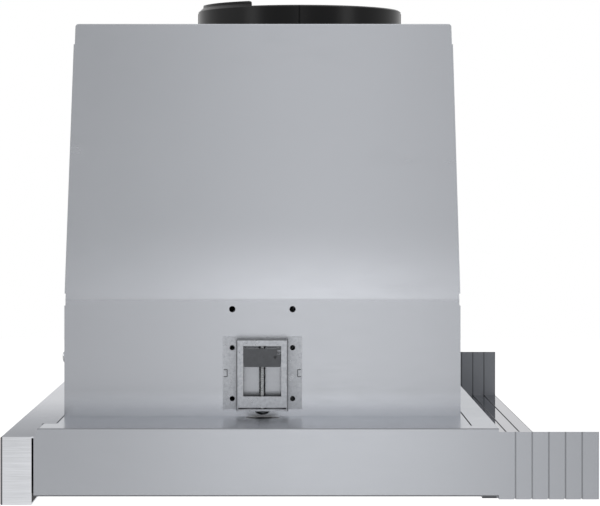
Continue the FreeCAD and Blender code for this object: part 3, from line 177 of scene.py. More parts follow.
# Studio: the floor is lifted towards white, less under the hood than far from it
FLOOR_LIFT_NEAR = 0.3
FLOOR_LIFT_FAR = 0.62
FLOOR_FADE_REACH = 2.6
FLOOR_REACH = 9.0
FLOOR_HEIGHT = -0.75
WORLD_LEVEL = 0.55
HOOD_SIDE = (0.3, 0.0, -0.2)
HOOD_TOP = (0.0, 0.0, 0.0)
SOFTBOXES = {
    "side_strip": {"place": (3.3, 0.06, 0.6), "target": HOOD_SIDE, "size": (0.42, 3.4), "watts": 7.0},
    "upper_strip": {"place": (1.85, 0.06, 2.48), "target": HOOD_SIDE, "size": (0.42, 1.66), "watts": 1.85},
    "soft_key": {"place": (2.8, 0.06, 1.62), "target": HOOD_SIDE, "size": (0.42, 0.54), "watts": 0.85},
    "front_strip": {"place": (1.94, -2.67, 0.3), "target": HOOD_TOP, "size": (0.8, 1.0), "watts": 7.5},
    "rear_strip": {"place": (1.94, 2.67, 0.3), "target": HOOD_TOP, "size": (0.8, 1.0), "watts": 8.0},
    "front_bank": {"place": (0.6, -3.0, 1.4), "target": (0.0, 0.0, -0.15), "size": (2.0, 1.6), "watts": 31.0},
    "top_bank": {"place": (-0.4, 0.6, 3.2), "target": (0.0, 0.0, -0.1), "size": (2.4, 2.4), "watts": 25.0},
}


# Node trees
class Wire:
    """A value in a node tree. Arithmetic on it adds Math nodes."""

    def __init__(self, tree, socket):
        self.tree = tree
        self.socket = socket

    def math(self, operation, *values, clamp=False):
        """A Math node on up to three values."""
        settings = {"operation": operation, "use_clamp": clamp}
        return self.tree.add("ShaderNodeMath", settings, dict(enumerate(values)))

    def __add__(self, other):
        return self.math("ADD", self, other)

    __radd__ = __add__

    def __sub__(self, other):
        return self.math("SUBTRACT", self, other)

    def __rsub__(self, other):
        return self.math("SUBTRACT", other, self)

    def __neg__(self):
        return 0.0 - self

    def __mul__(self, other):
        return self.math("MULTIPLY", self, other)

    __rmul__ = __mul__

    def __truediv__(self, other):
        return self.math("DIVIDE", self, other)

    def above(self, edge, soft):
        """0 below an edge and 1 above it, with a soft change between."""
        return self.math("MULTIPLY_ADD", self, 1 / soft, 0.5 - edge / soft, clamp=True)

    def below(self, edge, soft):
        """1 below an edge and 0 above it, with a soft change between."""
        return 1 - self.above(edge, soft)

    def swing(self, amount):
        """A pattern from 0 to 1, centred on zero and scaled."""
        return (self - 0.5) * amount

    def larger(self, other):
        """The larger of two values."""
        return self.math("MAXIMUM", self, other)

    def size(self):
        """The value without its sign."""
        return self.math("ABSOLUTE", self)

    def root(self):
        """The square root."""
        return self.math("SQRT", self)

    def sine(self):
        """The sine of an angle in radians."""
        return self.math("SINE", self)

    def fraction(self):
        """What is left above the next whole number down."""
        return self.math("FRACT", self)

    def remainder(self, divisor):
        """What a division leaves over."""
        return self.math("MODULO", self, divisor)


class Tree:
    """A node tree with the one method that adds nodes."""

    def __init__(self, tree):
        self.tree = tree
        tree.nodes.clear()

    def socket(self, sockets, key):
        """A socket by its identifier, its name or its number."""
        for socket in sockets:
            if socket.identifier == key:
                return socket
        return sockets[key]

    def add(self, kind, settings=None, values=None, output=0):
        """A node with its settings, and with a value, a wire or a list of wires for each input."""
        node = self.tree.nodes.new(kind)
        for name, value in (settings or {}).items():
            setattr(node, name, value)
        for key, value in (values or {}).items():
            target = self.socket(node.inputs, key)
            wires = [value] if isinstance(value, Wire) else value
            if isinstance(wires, list):
                for wire in reversed(wires):
                    self.tree.links.new(wire.socket, target)
            else:
                target.default_value = value
        if not len(node.outputs):
            return None
        return Wire(self, self.socket(node.outputs, output))


def opaque(tone):
    """A tone as a colour socket takes it. A wire stays as it is."""
    if isinstance(tone, Wire):
        return tone
    return (*tone, 1.0)


def shade(tone, factor):
    """A tone made lighter or darker."""
    return tuple(part * factor for part in tone)


class Finish(Tree):
    """A new material's node tree, with the patterns that finishes are made of."""

    def __init__(self, name):
        self.material = bpy.data.materials.new(name)
        self.material.use_nodes = True
        super().__init__(self.material.node_tree)

    def place(self, stretch=(1, 1, 1)):
        """The point on the piece, stretched for a pattern."""
        point = self.add("ShaderNodeTexCoord", output="Object")
        return self.add("ShaderNodeMapping", {}, {"Vector": point, "Scale": stretch})

    def along(self, axis):
        """The point's place along one axis, in metres."""
        point = self.add("ShaderNodeTexCoord", output="Object")
        return self.add("ShaderNodeSeparateXYZ", {}, {"Vector": point}, axis)

    def facing(self, axis):
        """How far the surface faces along one axis, from -1 to 1."""
        normal = self.add("ShaderNodeTexCoord", output="Normal")
        return self.add("ShaderNodeSeparateXYZ", {}, {"Vector": normal}, axis)

    def side_patch(self, middle, half):
        """1 in a rectangle on the hood's side, given by its middle and half its size along Y and Z."""
        in_depth = (self.along("Y") - middle[0]).size().below(half[0], PATCH_FADE)
        in_height = (self.along("Z") - middle[1]).size().below(half[1], PATCH_FADE)
        return in_depth * in_height

    def noise(self, scale, detail=2.0, roughness=0.5, stretch=(1, 1, 1)):
        """Cloudy noise from 0 to 1."""
        values = {"Vector": self.place(stretch), "Scale": scale, "Detail": detail, "Roughness": roughness}
        return self.add("ShaderNodeTexNoise", {}, values)

    def flakes(self, scale):
        """A value from 0 to 1 that is even in each cell of a crystal pattern."""
        cells = self.add("ShaderNodeTexVoronoi", {}, {"Vector": self.place(), "Scale": scale}, "Color")
        return self.add("ShaderNodeSeparateColor", {}, {"Color": cells})

    def blend(self, share, first, second):
        """A mix of two colours."""
        values = {"Factor_Float": share, "A_Color": opaque(first), "B_Color": opaque(second)}
        return self.add("ShaderNodeMix", {"data_type": "RGBA"}, values, "Result_Color")

    def bump(self, height, depth, under=None):
        """A normal from a height that is 0 to 1 over a depth in metres, on top of another normal."""
        values = {"Height": height, "Distance": depth, "Strength": 1.0}
        if under:
            values["Normal"] = under
        return self.add("ShaderNodeBump", {}, values)

    def surface(self, colour, rough, normal, metal=0.0, more=None):
        """The finished material, a Principled shader on the tree's output."""
        values = {"Base Color": colour, "Roughness": rough, "Normal": normal, "Metallic": metal}
        values.update(more or {})
        shader = self.add("ShaderNodeBsdfPrincipled", {}, values)
        self.add("ShaderNodeOutputMaterial", {}, {"Surface": shader})
        return self.material


# Finishes
def sheet_look(look, tone, roughness, stretch=(0.12, 0.12, 1.0)):
    """Colour, roughness and normal of satin sheet: rolling grain, soft clouds of tone, handling marks."""
    clouds = look.noise(9.0, detail=3.0, roughness=0.55)
    grain = look.noise(420.0, detail=3.0, roughness=0.6, stretch=stretch)
    speckle = look.noise(1600.0, detail=1.0)
    marks = look.noise(26.0, detail=5.0, roughness=0.7, stretch=(1.0, 0.25, 1.0)).above(0.66, soft=0.08)
    colour = look.blend(clouds * 0.6 + grain * 0.4, shade(tone, 0.965), shade(tone, 1.035))
    rough = roughness + grain.swing(0.05) + clouds.swing(0.05) + marks * 0.025
    return colour, rough, look.bump(grain * 0.7 + speckle * 0.3, depth=0.0000035)


def satin_sheet(name, tone, roughness):
    """Plain satin sheet steel."""
    look = Finish(name)
    colour, rough, normal = sheet_look(look, tone, roughness)
    return look.surface(colour, rough, normal, metal=1.0, more={"Specular Tint": opaque(SHEET_TINT)})


def folded_side(name, tone, roughness):
    """Housing side sheet: its leaning part rounds softly into the fold; painted light makes it lighter near
    its bottom, and painted shade darkens it behind the clamp's bracket and in the bracket's window.
    """
    look = Finish(name)
    colour, rough, normal = sheet_look(look, tone, roughness)
    into_fold = look.along("Z").below(FOLD_PLACE + FOLD_SWEEP / 2, FOLD_SWEEP)
    normal = look.bump(-(into_fold * into_fold), FOLD_SWEEP_DEPTH, normal)
    # Painted light: the sheet is made lighter near its bottom
    foot_painted_light = look.along("Z").below(FOOT_PLACE, FOOT_FADE)
    colour = look.blend(foot_painted_light, colour, shade(tone, 1.22))
    # Painted shade: darker behind the clamp's bracket, and a little darker in the bracket's window
    colour = look.blend(look.side_patch(BRACKET_MIDDLE, BRACKET_HALF), colour, shade(tone, 0.25))
    colour = look.blend(look.side_patch(BRACKET_MIDDLE, WINDOW_HALF), colour, shade(tone, 0.76))
    waves = look.noise(11.0, detail=1.0)
    normal = look.bump(waves, SIDE_WAVE_DEPTH, normal)
    return look.surface(colour, rough, normal, metal=1.0)


def ledge_sheet(name, tone):
    """Base top: it mirrors the housing, with painted shadow lines along its front edges and painted light on
    the walls of its access holes.
    """
    look = Finish(name)
    colour, rough, normal = sheet_look(look, tone, 0.22)
    across = look.along("X").size()
    deep = look.along("Y")
    # Painted shadow lines along the front edge, the ears' fronts and the ears' inner edges; cut holds them
    # all
    on_ear = across.above(EAR_PLACE, LINE_FADE)
    ear_share = 0.3 + 0.7 * across.below(EAR_PLACE + EAR_FADE, EAR_FADE)
    ear_shadow_line = on_ear * deep.below(EAR_FRONT + SHADOW_LINE_WIDTH, EDGE_FADE) * ear_share
    front_shadow_line = deep.below(LEDGE_FRONT + SHADOW_LINE_WIDTH, EDGE_FADE) * (1 - on_ear)
    slit_shadow_line = on_ear * across.below(EAR_PLACE + SHADOW_LINE_WIDTH, EDGE_FADE) * deep.below(LEDGE_FRONT, EDGE_FADE)
    cut = (front_shadow_line + ear_shadow_line).larger(slit_shadow_line)
    colour = look.blend(cut, colour, shade(tone, 0.25))
    off_hole = (across - ACCESS_HOLE[0]).size().larger((deep - ACCESS_HOLE[1]).size())
    # Painted light: the upright walls of the access holes are pale and not metal, to lift the shade in them
    upright = look.facing("Z").size().below(0.5, soft=0.2)
    hole_wall_painted_light = upright * off_hole.below(ACCESS_HOLE_REACH, PATCH_FADE)
    colour = look.blend(hole_wall_painted_light, colour, HOLE_WALL_PAINTED_LIGHT_TONE)
    rough = rough + cut * 0.6 + hole_wall_painted_light * 0.6
    gloss = {"Specular IOR Level": 0.35, "Specular Tint": opaque(LEDGE_TINT)}
    return look.surface(colour, rough, normal, metal=0.7 - hole_wall_painted_light * 0.7, more=gloss)


def edged_sheet(name, tone, roughness, top, bottom):
    """The base's side sheet: satin, with painted shade along its top and bottom edges."""
    look = Finish(name)
    colour, rough, normal = sheet_look(look, tone, roughness, (1.0, 0.1, 1.0))
    height = look.along("Z")
    # Painted shade along the top and bottom edges, which are also a little rougher
    edge = (height.above(top, EDGE_FADE) * 0.7).larger(height.below(bottom, EDGE_FADE))
    colour = look.blend(edge, colour, shade(tone, 0.36))
    return look.surface(colour, rough + edge * 0.2, normal, metal=1.0)


def brushed_trim(name, tone):
    """Brushed stainless steel: strokes run along the trim, and across its two end caps. Painted light and
    shade: the end caps are lighter low down, the top is darker towards the ends, and the caps' front edges
    are dark.
    """
    look = Finish(name)
    across = look.along("X").size()
    on_end = look.facing("X").size().above(0.7, soft=0.2)
    long_strokes = look.noise(1.0, detail=4.0, roughness=0.7, stretch=(6.0, 2600.0, 2600.0))
    long_fine = look.noise(1.0, detail=2.0, roughness=0.6, stretch=(14.0, 7000.0, 7000.0))
    end_strokes = look.noise(1.0, detail=4.0, roughness=0.7, stretch=(900.0, 22.0, 900.0))
    end_fine = look.noise(1.0, detail=2.0, roughness=0.6, stretch=(2600.0, 60.0, 2600.0))
    strokes = long_strokes * (1 - on_end) + end_strokes * on_end
    fine = long_fine * (1 - on_end) + end_fine * on_end
    mixed = strokes * 0.5 + fine * 0.25 + look.noise(14.0) * 0.25
    # Painted highlight: the end caps are lighter below a height
    painted_sheen = on_end * look.along("Z").below(TRIM_PAINTED_SHEEN_PLACE, TRIM_PAINTED_SHEEN_FADE)
    low_tone = look.blend(painted_sheen, shade(tone, 0.78), shade(tone, 0.88))
    high_tone = look.blend(painted_sheen, shade(tone, 1.12), shade(tone, 1.2))
    colour = look.blend(mixed.above(0.5, soft=0.34), low_tone, high_tone)
    # Towards the ends the top is duller, and darker as painted shade
    dull_and_painted_shade_end = look.facing("Z").above(0.7, soft=0.2) * across.above(TRIM_DULL_SHADE_START, TRIM_DULL_SHADE_FADE)
    colour = look.blend(dull_and_painted_shade_end * 0.8, colour, shade(tone, 0.5))
    # Painted shade: a dark strip on each end cap along its front fold, also rough and not metal
    cap_edge_painted_shade = look.along("Y").below(TRIM_CAP_FRONT, EDGE_FADE) * across.above(TRIM_CAP_START, EDGE_FADE)
    colour = look.blend(cap_edge_painted_shade, colour, shade(tone, 0.22))
    rough = 0.04 + strokes * 0.06 + dull_and_painted_shade_end * 0.36 + cap_edge_painted_shade * 0.9
    normal = look.bump((strokes * 0.6 + fine * 0.4) * (1 - cap_edge_painted_shade), depth=0.000014)
    return look.surface(colour, rough, normal, metal=1 - cap_edge_painted_shade, more={"Specular Tint": opaque(TRIM_TINT)})


def galvanised_sheet(name, tone):
    """Zinc coated sheet with faint crystal flakes and fine mottling."""
    look = Finish(name)
    flake = look.flakes(240.0)
    mottle = look.noise(700.0, detail=3.0, roughness=0.65)
    colour = look.blend(flake * 0.55 + mottle * 0.45, shade(tone, 0.8), shade(tone, 1.22))
    rough = 0.34 + flake.swing(0.14) + mottle.swing(0.12)
    return look.surface(colour, rough, look.bump(mottle, depth=0.00001), metal=1.0)


def bracket_sheet(name, tone):
    """Zinc coated bracket pressing, with painted shade on its bends, its cut edges and the walls of its
    hollow, and painted light on top of its bottom tab.
    """
    look = Finish(name)
    flake = look.flakes(300.0)
    mottle = look.noise(420.0, detail=4.0, roughness=0.7).above(0.5, soft=0.55)
    flat = look.facing("X").size().above(0.82, soft=0.25)
    tab = look.facing("Z").above(0.7, soft=0.2) * look.along("Z").below(TAB_PLACE, TAB_FADE)
    colour = look.blend(flake * 0.3 + mottle * 0.7, shade(tone, 0.6), shade(tone, 1.44))
    # Painted shade on the faces that do not face along X: bends, cut edges and hollow walls
    colour = look.blend(flat, shade(tone, 0.26), colour)
    # Painted light: the top of the bottom tab is given a pale tone
    colour = look.blend(tab, colour, TAB_PAINTED_LIGHT_TONE)
    rough = 0.34 + flake.swing(0.12) + mottle.swing(0.14)
    return look.surface(colour, rough, look.bump(mottle, depth=0.000014), metal=1.0)


def plated_steel(name, tone, roughness):
    """Zinc plated or ground steel: fine turning lines and a little dullness."""
    look = Finish(name)
    dull = look.noise(160.0, detail=3.0, roughness=0.6)
    lines = look.noise(2600.0)
    colour = look.blend(dull, shade(tone, 0.82), shade(tone, 1.08))
    rough = roughness + dull.swing(0.14)
    return look.surface(colour, rough, look.bump(lines, depth=0.000006), metal=1.0)


def cast_jaw(name):
    """Dark grainy casting of the clamp jaws, with painted shade on its rounded corners, and a smooth ground
    top face whose pale tone is painted light.
    """
    look = Finish(name)
    grain = look.noise(1500.0, detail=4.0, roughness=0.7)
    patches = look.noise(240.0)
    ground = look.facing("Z").above(0.8, soft=0.2)
    flat = look.facing("X").size().larger(look.facing("Z").size()).above(0.85, soft=0.2)
    colour = look.blend(grain * 0.6 + patches * 0.4, JAW_DARK_TONE, JAW_PALE_TONE)
    # Painted shade on the rounded corners, which face neither along X nor along Z
    colour = look.blend(flat, JAW_DARK_TONE, colour)
    # The ground top face is smooth and metal, and its pale tone is painted light
    colour = look.blend(ground, colour, JAW_GROUND_PAINTED_LIGHT_TONE)
    rough = (0.42 + patches * 0.2) * (1 - ground) + ground * 0.06
    normal = look.bump(grain * (1 - ground), depth=0.00006)
    return look.surface(colour, rough, normal, metal=0.75 + ground * 0.25)


def moulding_patterns(look):
    """Spark-eroded grain and faint flow marks of moulded plastic."""
    grain = look.noise(1900.0, detail=2.0, roughness=0.6)
    flow = look.noise(30.0, detail=3.0, roughness=0.6, stretch=(1.0, 1.0, 0.4))
    return grain, flow


def moulded_plastic(name, tone, roughness, gloss=0.5):
    """Plain moulded plastic."""
    look = Finish(name)
    grain, flow = moulding_patterns(look)
    colour = look.blend(flow * 0.7 + grain * 0.3, shade(tone, 0.86), shade(tone, 1.14))
    rough = roughness + flow.swing(0.1) + grain.swing(0.06)
    return look.surface(colour, rough, look.bump(grain, depth=0.00001), more={"Specular IOR Level": gloss})


def collar_moulding(name, tone):
    """Glossy black moulding with its mould's parting line down each side."""
    look = Finish(name)
    grain, flow = moulding_patterns(look)
    parting = (look.along("Y") - PARTING_PLACE).size().below(PARTING_HALF, LINE_FADE)
    colour = look.blend(flow * 0.7 + grain * 0.3, shade(tone, 0.8), shade(tone, 1.2))
    rough = 0.28 + flow.swing(0.05) + parting * 0.3
    normal = look.bump(-parting, PARTING_DEPTH, look.bump(grain, depth=0.000005))
    return look.surface(colour, rough, normal, more={"Specular IOR Level": 0.15})


def spacer_moulding(name, tone):
    """Grey spacer like the sheet beside it, with painted shade in its score lines, on its inner walls and on
    its tongue, and a glossy floor that mirrors them.
    """
    look = Finish(name)
    colour, rough, normal = sheet_look(look, tone, 0.22, (1.0, 0.1, 1.0))
    face = look.facing("X")
    painted_shade_inside = (look.along("X") * face).below(0.0, SPACER_MIDDLE_FADE) * face.size().above(0.5, soft=0.2)
    floor = look.facing("Z").above(0.7, soft=0.2)
    deep = look.along("Y")
    step = (deep - SCORE_START) / SCORE_PITCH + 0.5
    off_line = (step.fraction() - 0.5).size() * SCORE_PITCH
    scored = deep.above(SCORE_START - SCORE_PITCH / 2, SCORE_START_FADE)
    score = off_line.below(SCORE_HALF, LINE_FADE) * scored
    tongue = deep.below(SPACER_TONGUE, LINE_FADE)
    # Painted shade: the inner walls are darker
    colour = look.blend(painted_shade_inside, colour, SPACER_PAINTED_SHADE_TONE)
    # Painted shade in the score lines, deeper on the inner walls and the floor, and over the tongue under the
    # base
    painted_shade_lines = (score * (0.45 + painted_shade_inside * 0.4 + floor * 0.4)).larger(tongue)
    colour = look.blend(painted_shade_lines, colour, shade(SPACER_PAINTED_SHADE_TONE, 0.4))
    rough = rough + painted_shade_inside * 0.1 - floor * 0.16 + score * floor * 0.4
    return look.surface(colour, rough, normal, metal=1.0, more={"Specular Tint": opaque(SPACER_TINT)})


def rubber(name):
    """Black rubber with a little dust."""
    look = Finish(name)
    dust = look.noise(90.0, detail=3.0, roughness=0.6)
    grain = look.noise(1400.0, detail=3.0)
    colour = look.blend(dust, RUBBER_TONE, RUBBER_DUST_TONE)
    return look.surface(colour, 0.6 + dust * 0.2, look.bump(grain, depth=0.00002))


def painted_can(name):
    """Dark baked paint on the motor can, with fine orange peel."""
    look = Finish(name)
    peel = look.noise(500.0)
    dust = look.noise(45.0, detail=4.0, roughness=0.65)
    colour = look.blend(dust, PAINT_TONE, PAINT_DUST_TONE)
    return look.surface(colour, 0.36 + dust * 0.18, look.bump(peel, depth=0.00002))


def satin_aluminium(name, tone, roughness):
    """Anodised aluminium with fine drawn lines."""
    look = Finish(name)
    lines = look.noise(1.0, detail=3.0, roughness=0.6, stretch=(40.0, 2400.0, 2400.0))
    clouds = look.noise(18.0, detail=3.0, roughness=0.6)
    colour = look.blend(lines * 0.5 + clouds * 0.5, shade(tone, 0.9), shade(tone, 1.06))
    rough = roughness + lines.swing(0.1) + clouds.swing(0.06)
    return look.surface(colour, rough, look.bump(lines, depth=0.000006), metal=1.0)


def frosted_lens(name):
    """Frosted lamp lens with fine pressed rings."""
    look = Finish(name)
    across = look.along("X").size() - LENS_MIDDLE[0]
    deep = look.along("Y") - LENS_MIDDLE[1]
    radius = (across * across + deep * deep).root()
    rings = (radius * LENS_RING_RATE).sine()
    frost = look.noise(900.0)
    colour = look.blend(frost, LENS_TONE, LENS_FROST_TONE)
    glass = {"Transmission Weight": 0.25, "IOR": 1.49}
    return look.surface(colour, 0.32 + frost * 0.12, look.bump(rings, depth=0.00004), more=glass)


finishes = {
    "housing_sheet": satin_sheet("satin_housing_sheet", SHEET_TONE, 0.24),
    "base_sheet": satin_sheet("satin_base_sheet", SHEET_TONE, 0.22),
    "trim_steel": brushed_trim("brushed_trim_steel", TRIM_TONE),
    "spacer": spacer_moulding("grey_spacer_moulding", SHEET_TONE),
    "collar": collar_moulding("black_collar_moulding", shade(BLACK_TONE, 0.25)),
    "flap": moulded_plastic("black_flap_moulding", shade(BLACK_TONE, 1.5), 0.42),
    "galvanised": galvanised_sheet("galvanised_sheet", ZINC_TONE),
    "clamp_jaw": cast_jaw("dark_cast_jaw"),
    "zinc_screw": plated_steel("zinc_plated_screw", (0.36, 0.37, 0.38), 0.28),
    "grommet": rubber("black_grommet_rubber"),
    "wheel": moulded_plastic("dark_wheel_moulding", (0.030, 0.031, 0.034), 0.44),
    "motor": painted_can("baked_motor_paint"),
    "shaft": plated_steel("ground_shaft_steel", (0.56, 0.56, 0.57), 0.2),
    "capacitor": moulded_plastic("pale_capacitor_case", (0.62, 0.62, 0.59), 0.3),
    "control_box": moulded_plastic("grey_control_box", (0.16, 0.165, 0.17), 0.48),
    "rail": plated_steel("zinc_rail_steel", (0.46, 0.47, 0.49), 0.3),
    "drawer_sheet": satin_sheet("satin_drawer_sheet", shade(SHEET_TONE, 1.05), 0.26),
    "filter": satin_aluminium("satin_filter_aluminium", ALUMINIUM_TONE, 0.32),
    "mesh": satin_aluminium("filter_mesh_aluminium", shade(ALUMINIUM_TONE, 0.92), 0.36),
    "latch": moulded_plastic("dark_latch_moulding", (0.028, 0.028, 0.03), 0.46),
    "lamp": satin_aluminium("turned_lamp_ring", ALUMINIUM_TONE, 0.24),
    "lens": frosted_lens("frosted_lamp_lens"),
    "switch": moulded_plastic("black_switch_moulding", (0.016, 0.016, 0.018), 0.38),
}
slider_finish = moulded_plastic("grey_slider_moulding", (0.12, 0.122, 0.126), 0.42)

# Finishes of the nodes whose names start with these words, in place of their slots' finishes
own_finishes = {
    "housing_side": folded_side("satin_folded_side", SHEET_TONE, 0.24),
    "base_top": ledge_sheet("satin_ledge_sheet", SHEET_TONE),
    "base_side": edged_sheet("satin_base_side", SHEET_TONE, 0.22, BASE_SIDE_TOP, BASE_SIDE_BOTTOM),
    "bracket_": bracket_sheet("galvanised_bracket", BRACKET_TONE),
    # The drawer's inner front plate is made dark as painted shade behind the trim
    "drawer_front": moulded_plastic("dark_painted_front", (0.018, 0.019, 0.021), 0.62, gloss=0.12),
    "fan_slider": slider_finish,
    "light_slider": slider_finish,
}
slot_of = {part["node"]: part["material_slot"] for part in frame["record"]["subparts"]}


def dress_nodes():
    """Gives each CAD node the finish of its slot, or its own."""
    for name, node in nodes.items():
        finish = finishes[slot_of[name]]
        for start, own in own_finishes.items():
            if name.startswith(start):
                finish = own
        for holder in node.material_slots:
            holder.link = "OBJECT"
            holder.material = finish


# Objects and meshes
def linked(name, data):
    """A new object in the scene."""
    item = bpy.data.objects.new(name, data)
    scene.collection.objects.link(item)
    return item


def plain_mesh(item):
    """The mesh that an object's modifiers give."""
    bpy.context.view_layer.update()
    evaluated = item.evaluated_get(bpy.context.evaluated_depsgraph_get())
    return bpy.data.meshes.new_from_object(evaluated)


def shaped(name, shape):
    """An object from a finished bmesh, its faces turned outwards."""
    bmesh.ops.recalc_face_normals(shape, faces=shape.faces)
    mesh = bpy.data.meshes.new(name)
    shape.to_mesh(mesh)
    shape.free()
    return linked(name, mesh)


# Pieces that Geometry Nodes make
class Plan(Tree):
    """A Geometry Nodes tree with named sizes."""

    def __init__(self, name):
        group = bpy.data.node_groups.new(name, "GeometryNodeTree")
        super().__init__(group)
        group.interface.new_socket("Geometry", in_out="OUTPUT", socket_type="NodeSocketGeometry")
        self.sizes = {}

    def size(self, name, value):
        """A named input of the tree, in metres."""
        item = self.tree.interface.new_socket(name, in_out="INPUT", socket_type="NodeSocketFloat")
        self.sizes[item.identifier] = value
        return self.add("NodeGroupInput", output=item.identifier)

    def vector(self, x=0.0, y=0.0, z=0.0):
        """A vector from values or numbers."""
        return self.add("ShaderNodeCombineXYZ", {}, {"X": x, "Y": y, "Z": z})

    def row(self, count, step):
        """A row of points joined by edges."""
        return self.add("GeometryNodeMeshLine", {}, {"Count": count, "Offset": step})

    def shifted(self, points, offset):
        """Points moved by an offset that differs from point to point."""
        return self.add("GeometryNodeSetPosition", {}, {"Geometry": points, "Offset": offset})

    def swept(self, curve, section):
        """A capped bar that follows a curve."""
        values = {"Curve": curve, "Profile Curve": section, "Fill Caps": True}
        return self.add("GeometryNodeCurveToMesh", {}, values)

    def copy_of(self, template):
        """The mesh of a template object."""
        return self.add("GeometryNodeObjectInfo", {}, {"Object": template}, "Geometry")

    def on_points(self, points, shape, turn=(0, 0, 0)):
        """A shape at each point."""
        values = {"Points": points, "Instance": shape, "Rotation": turn}
        return self.add("GeometryNodeInstanceOnPoints", {}, values)

    def moved(self, part, offset, turn=(0, 0, 0)):
        """A part turned and put in its place."""
        values = {"Geometry": part, "Translation": offset, "Rotation": turn}
        return self.add("GeometryNodeTransform", {}, values)

    def join(self, parts):
        """Several parts as one."""
        return self.add("GeometryNodeJoinGeometry", {}, {"Geometry": parts})

    def end(self, part, finish):
        """The tree's output: a part made real, in its finish."""
        whole = self.add("GeometryNodeRealizeInstances", {}, {"Geometry": part})
        whole = self.add("GeometryNodeSetMaterial", {}, {"Geometry": whole, "Material": finish})
        self.add("NodeGroupOutput", {}, {0: whole})


def made_by(plan, name, body, slot, *replaced):
    """A plain mesh from a plan, riding on a body."""
    holder = linked(name + "_plan", bpy.data.meshes.new(name + "_plan"))
    modifier = holder.modifiers.new("plan", "NODES")
    modifier.node_group = plan.tree
    for identifier, value in plan.sizes.items():
        modifier[identifier] = value
    mesh = plain_mesh(holder)
    bpy.data.objects.remove(holder)
    piece = linked(name, mesh)
    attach(piece, body)
    if replaced:
        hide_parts(*replaced)


def filter_strands(side):
    """Layered expanded mesh of one grease filter: zigzag strands that meet in diamonds."""
    low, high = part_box("filter_mesh_" + side)
    half_diamond = DIAMOND_LENGTH / 2
    segments = int((high.x - low.x - MESH_EDGE_GAP) / half_diamond) - 1
    rows = int((high.y - low.y - MESH_EDGE_GAP) / STRAND_PITCH)
    plan = Plan("filter_strands_" + side)
    step = plan.size("Strand step", half_diamond)
    pitch = plan.size("Row pitch", STRAND_PITCH)
    strand_width = plan.size("Strand width", STRAND_WIDTH)
    strand_thickness = plan.size("Strand thickness", STRAND_THICKNESS)
    odd = plan.add("GeometryNodeInputIndex").remainder(2.0)
    zigzag = plan.vector(0.0, odd.swing(pitch) * STRAND_SWING)
    line = plan.shifted(plan.row(segments, plan.vector(step)), zigzag)
    curve = plan.add("GeometryNodeMeshToCurve", {}, {"Mesh": line})
    curve = plan.add("GeometryNodeSetCurveNormal", {"mode": "Z_UP"}, {"Curve": curve})
    curve = plan.add("GeometryNodeSetCurveTilt", {}, {"Curve": curve, "Tilt": STRAND_TILT})
    sizes = {"Width": strand_width, "Height": strand_thickness}
    strand = plan.swept(curve, plan.add("GeometryNodeCurvePrimitiveQuadrilateral", {}, sizes))
    places = plan.shifted(plan.row(rows, plan.vector(0.0, pitch)), plan.vector(odd.swing(step)))
    sheet = plan.on_points(places, strand)
    length = (segments - 1) * half_diamond
    depth = (rows - 1) * STRAND_PITCH
    start = Vector((low.x + high.x - length, low.y + high.y - depth, 0)) / 2
    stack = []
    for layer in range(MESH_LAYERS):
        crossed = layer % 2
        shift = Vector((crossed * half_diamond / 2, crossed * STRAND_PITCH / 2 - STRAND_PITCH / 4, 0))
        height = low.z + LAYER_START + layer * LAYER_RISE
        stack.append(plan.moved(sheet, start + shift + Vector((0, 0, height))))
    plan.end(plan.join(stack), finishes["mesh"])
    made_by(plan, "filter_strands_" + side, "drawer", "mesh", "filter_mesh_" + side)


def turned(name, outline):
    """A solid turned about the Y axis from an outline of radii and places."""
    shape = bmesh.new()
    ring = [shape.verts.new((radius, along, 0.0)) for radius, along in outline]
    edges = [shape.edges.new(pair) for pair in zip(ring, ring[1:])]
    spun = ring + edges
    bmesh.ops.spin(shape, geom=spun, cent=(0, 0, 0), axis=(0, 1, 0), angle=math.tau, steps=SCREW_STEPS)
    bmesh.ops.remove_doubles(shape, verts=shape.verts, dist=MERGE_DISTANCE)
    return shaped(name, shape)


def cross_cutter(place, scale):
    """Two crossed wedges that cut a recess into a screw's head."""
    shape = bmesh.new()
    wedge = {"segments": 4, "radius1": RECESS_FOOT, "radius2": RECESS_MOUTH, "depth": RECESS_DEPTH}
    for turn in (RECESS_TURN, RECESS_TURN + math.pi / 2):
        for vertex in bmesh.ops.create_cone(shape, cap_ends=True, **wedge)["verts"]:
            flat = Vector((vertex.co.x * RECESS_STRETCH, -vertex.co.z, vertex.co.y))
            vertex.co = Matrix.Rotation(turn, 3, "Y") @ (flat * scale - Vector((0, place, 0)))
    return shaped("cross_cutter", shape)


def cross_head_screw(name, outline, recess_place, recess_scale=1.0):
    """A screw turned from an outline, its head towards -Y with a cross recess, as a template object."""
    screw = turned(name, outline)
    cutter = cross_cutter(recess_place, recess_scale)
    cut = screw.modifiers.new("recess", "BOOLEAN")
    cut.operation = "DIFFERENCE"
    cut.object = cutter
    cut.use_self = True
    recessed = plain_mesh(screw)
    screw.modifiers.clear()
    screw.data = recessed
    bpy.data.objects.remove(cutter)
    return screw


